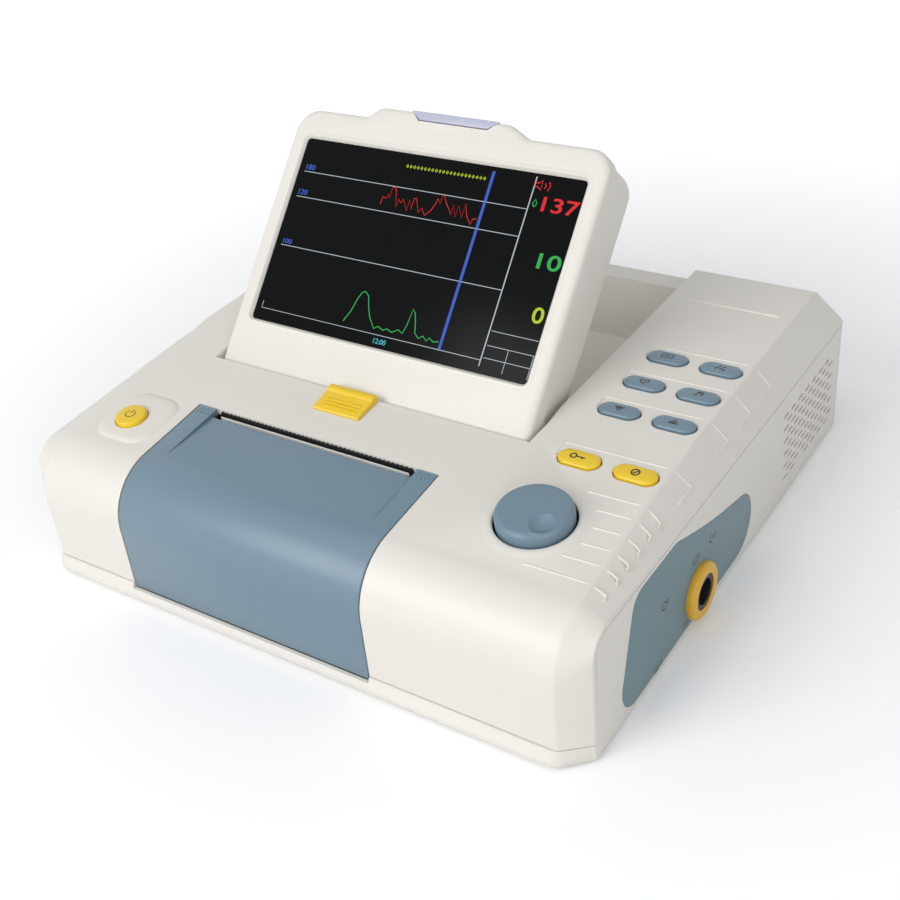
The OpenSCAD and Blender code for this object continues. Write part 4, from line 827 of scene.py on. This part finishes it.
# The panel's ABS is a little greener and duller than the door's.
panel_abs = moulded_abs("panel_slate_abs", "#67848c", 0.4, 0.0005)
panel_steps = ((0, -0.0016), (0, -0.0001), (-0.0002, 0.0001), (-0.0005, 0.0002))
panel = moulded("connector_panel_leaf", panel_outline, panel_steps, SIDE_WALL)
combine(panel, [moulded("socket_hole", disc(0.0083), ((0, -0.003), (0, 0.0001), (0.0004, 0.001)), on_wall(*SOCKET))])
dress(panel, "case", panel_abs, "slate_abs", "connector_panel")
marks = [
    ((-24.4, 34.1), [[(-1.6, 0), (0, 1.5), (1.6, 0), (0, -1.5), (-1.6, 0)], [(2.8, -1.2), (2.8, 1.2)]]),
    ((-40.4, 34.4), [[(-1.7, -1), (-1.7, 1), (1.7, 1), (1.7, -1), (-1.7, -1)], [(2.9, -1), (2.9, 1)]]),
    ((-69.5, 32.2), [[(1.5 * x, 1.5 * y) for x, y in circle], [(2.8, -1.2), (2.8, 1.2)]]),
    ((-50.3, 7.3), [[(-2, 0), (-0.8, 0), (0, 1.4), (0.8, -1.4), (1.5, 0), (2.4, 0)]]),
    ((-75.9, 4.6), [[(-1.6, -1), (0, 1.3), (1.6, -1), (-1.6, -1)], [(2.8, -1), (2.8, 1)]]),
]
prints = [drawn("mark", [[(1.25 * x, 1.25 * y) for x, y in line] for line in lines], 0.85,
                on_wall(y / 1000, z / 1000) @ Matrix.Translation((0, 0, 0.0002)), 0.00004)
          for (y, z), lines in marks]
dress(join(prints), "case", hot_foil, "black_plastic", smooth=20)


# Signal socket: a yellow ABS ring round the black insert that passes the panel.
# The ring's colour is a little more orange than the keys'.
ring_abs = moulded_abs("amber_socket_abs", "#eab41f", 0.32, 0.0005)
ring_steps = ((0, 0.0002), (0, 0.0017), (-0.0002, 0.0024), (-0.0006, 0.003), (-0.0012, 0.0034), (-0.002, 0.0035))
ring = moulded("socket_ring_rim", disc(0.013, corners=72), ring_steps, on_wall(*SOCKET))
bore_steps = ((0, -0.001), (0, 0.0031), (0.0005, 0.0036))
combine(ring, [moulded("bore", disc(0.0082, corners=64), bore_steps, on_wall(*SOCKET))])
dress(ring, "case", ring_abs, "yellow_abs", "socket_ring", smooth=24)


# Window, panel and hinge: the picture panel lies in the frame behind a hard-coated
# acrylic window, and two steel shafts in friction blocks carry the display. These
# and the parts below keep the solids they were drawn as.
def worn(name, colour, roughness, grain, change=0.08, **values):
    """A plain finish whose roughness wanders, as handling leaves it: the patches are given in metres."""
    material, tree, shader = new_material(name, colour, roughness, **values)
    place = add_node(tree, "ShaderNodeTexCoord")
    noise = add_node(tree, "ShaderNodeTexNoise", [("Vector", place.outputs["Object"])], Scale=1 / grain, Detail=3.0)
    rough = add_node(tree, "ShaderNodeMapRange", [("Value", noise.outputs["Fac"])], To_Min=roughness - change,
                     To_Max=roughness + change)
    tree.links.new(rough.outputs["Result"], shader.inputs["Roughness"])
    bump = add_node(tree, "ShaderNodeBump", [("Height", noise.outputs["Fac"])], Strength=0.1, Distance=0.0001)
    tree.links.new(bump.outputs["Normal"], shader.inputs["Normal"])
    return material


def finish(material, *names):
    """Gives parts that keep their own solids their material."""
    for name in names:
        for slot in nodes[name].material_slots:
            slot.material = material


# The window is nearly black, with one dim reflection. Zinc plating shines dull and bluish, ground steel sharply.
finish(worn("hard_coated_window", "#060708", 0.14, 0.01, 0.03, IOR=1.49, Specular_IOR_Level=0.08), "screen_window")
zinc = worn("zinc_plated_sheet", "#b8bcc0", 0.32, 0.002, Metallic=1.0)
ground = worn("ground_steel_shaft", "#c6c9cc", 0.2, 0.0005, Metallic=1.0)
finish(zinc, "lcd_panel", "hinge_blocks")
finish(ground, "hinge_shafts")


# Printer works: a rubber platen on a steel shaft in acetal bushes, driven by a
# brass pinion on the motor, presses the folded paper's web to the print head. The
# head has an extruded heat sink and hangs in a bent bracket beside the tear bar.

# Nylon is black with a soft shine, rubber is black and dull, and acetal is a smooth, waxy grey.
nylon = worn("black_moulded_nylon", "#1c1d1f", 0.42, 0.0006)
rubber = worn("black_ground_rubber", "#1c1d1f", 0.75, 0.0004)
acetal = worn("grey_moulded_acetal", "#8a9096", 0.38, 0.0008)
# Folded thermal paper: the block shows its sheets as fine lines, 0.1 mm apart and drawn at 0.8 mm to show.
thermal, tree, shader = new_material("folded_thermal_paper", "#f1f1ea", 0.7)
place = add_node(tree, "ShaderNodeTexCoord")
sheets = add_node(tree, "ShaderNodeTexWave", [("Vector", place.outputs["Object"])], bands_direction="Z", Scale=400.0)
tone = add_node(tree, "ShaderNodeMixRGB", [("Fac", sheets.outputs["Fac"])], Color1=linear("#f4f4ee"),
                Color2=linear("#dddcd4"))
tree.links.new(tone.outputs["Color"], shader.inputs["Base Color"])
finish(rubber, "platen_roller")
finish(ground, "door_pins", "platen_shaft")
finish(acetal, "platen_gear", "platen_bushes", "paper_tray", "latch_bar")
finish(thermal, "paper_pack", "paper_web")
finish(nylon, "tear_bar")
finish(zinc, "head_bracket", "feed_motor")
# Extruded aluminium is paler than the zinc and a little duller, and hobbed brass shines warm yellow.
finish(worn("extruded_aluminium", "#b4b6b8", 0.36, 0.001, Metallic=1.0), "print_head")
finish(worn("hobbed_brass", "#c9a24a", 0.3, 0.0006, Metallic=1.0), "motor_pinion")


# Boards and key mat: the keys press on one silicone mat over their board, and the
# encoder, the power switch, the alarm light and the main board are boards as well.

# Solder mask is a clear green lacquer, whose tracks show as blocks about 3 by 1.5 mm.
mask, tree, shader = new_material("green_solder_mask", "#2f6b45", 0.3, IOR=1.52)
place = add_node(tree, "ShaderNodeTexCoord")
tracks = add_node(tree, "ShaderNodeTexBrick", [("Vector", place.outputs["Object"])], Scale=160.0,
                  Color1=linear("#2f6b45"), Color2=linear("#296040"), Mortar=linear("#3c7c52"))
tree.links.new(tracks.outputs["Color"], shader.inputs["Base Color"])
finish(mask, "encoder", "key_board", "power_switch", "alarm_board", "main_board")
# Silicone is a dull, soft grey.
finish(worn("grey_moulded_silicone", "#9aa0a4", 0.6, 0.0008), "key_mat")
finish(ground, "knob_shaft")


# Supply, battery and fittings: the boxed supply, the shrink-wrapped battery behind
# its white door, the speaker, the mains inlet with its blades, the socket's black
# insert, and the rubber feet and plated screws under the case.
finish(zinc, "power_supply", "case_screws")
# The shrink wrap shines in soft patches, where it lies over the cells.
finish(worn("blue_shrink_wrap", "#3c5a86", 0.25, 0.003), "battery_pack")
finish(white_abs, "battery_door")
finish(nylon, "speaker", "mains_inlet", "socket_insert")
finish(ground, "inlet_pins")
finish(rubber, "feet")
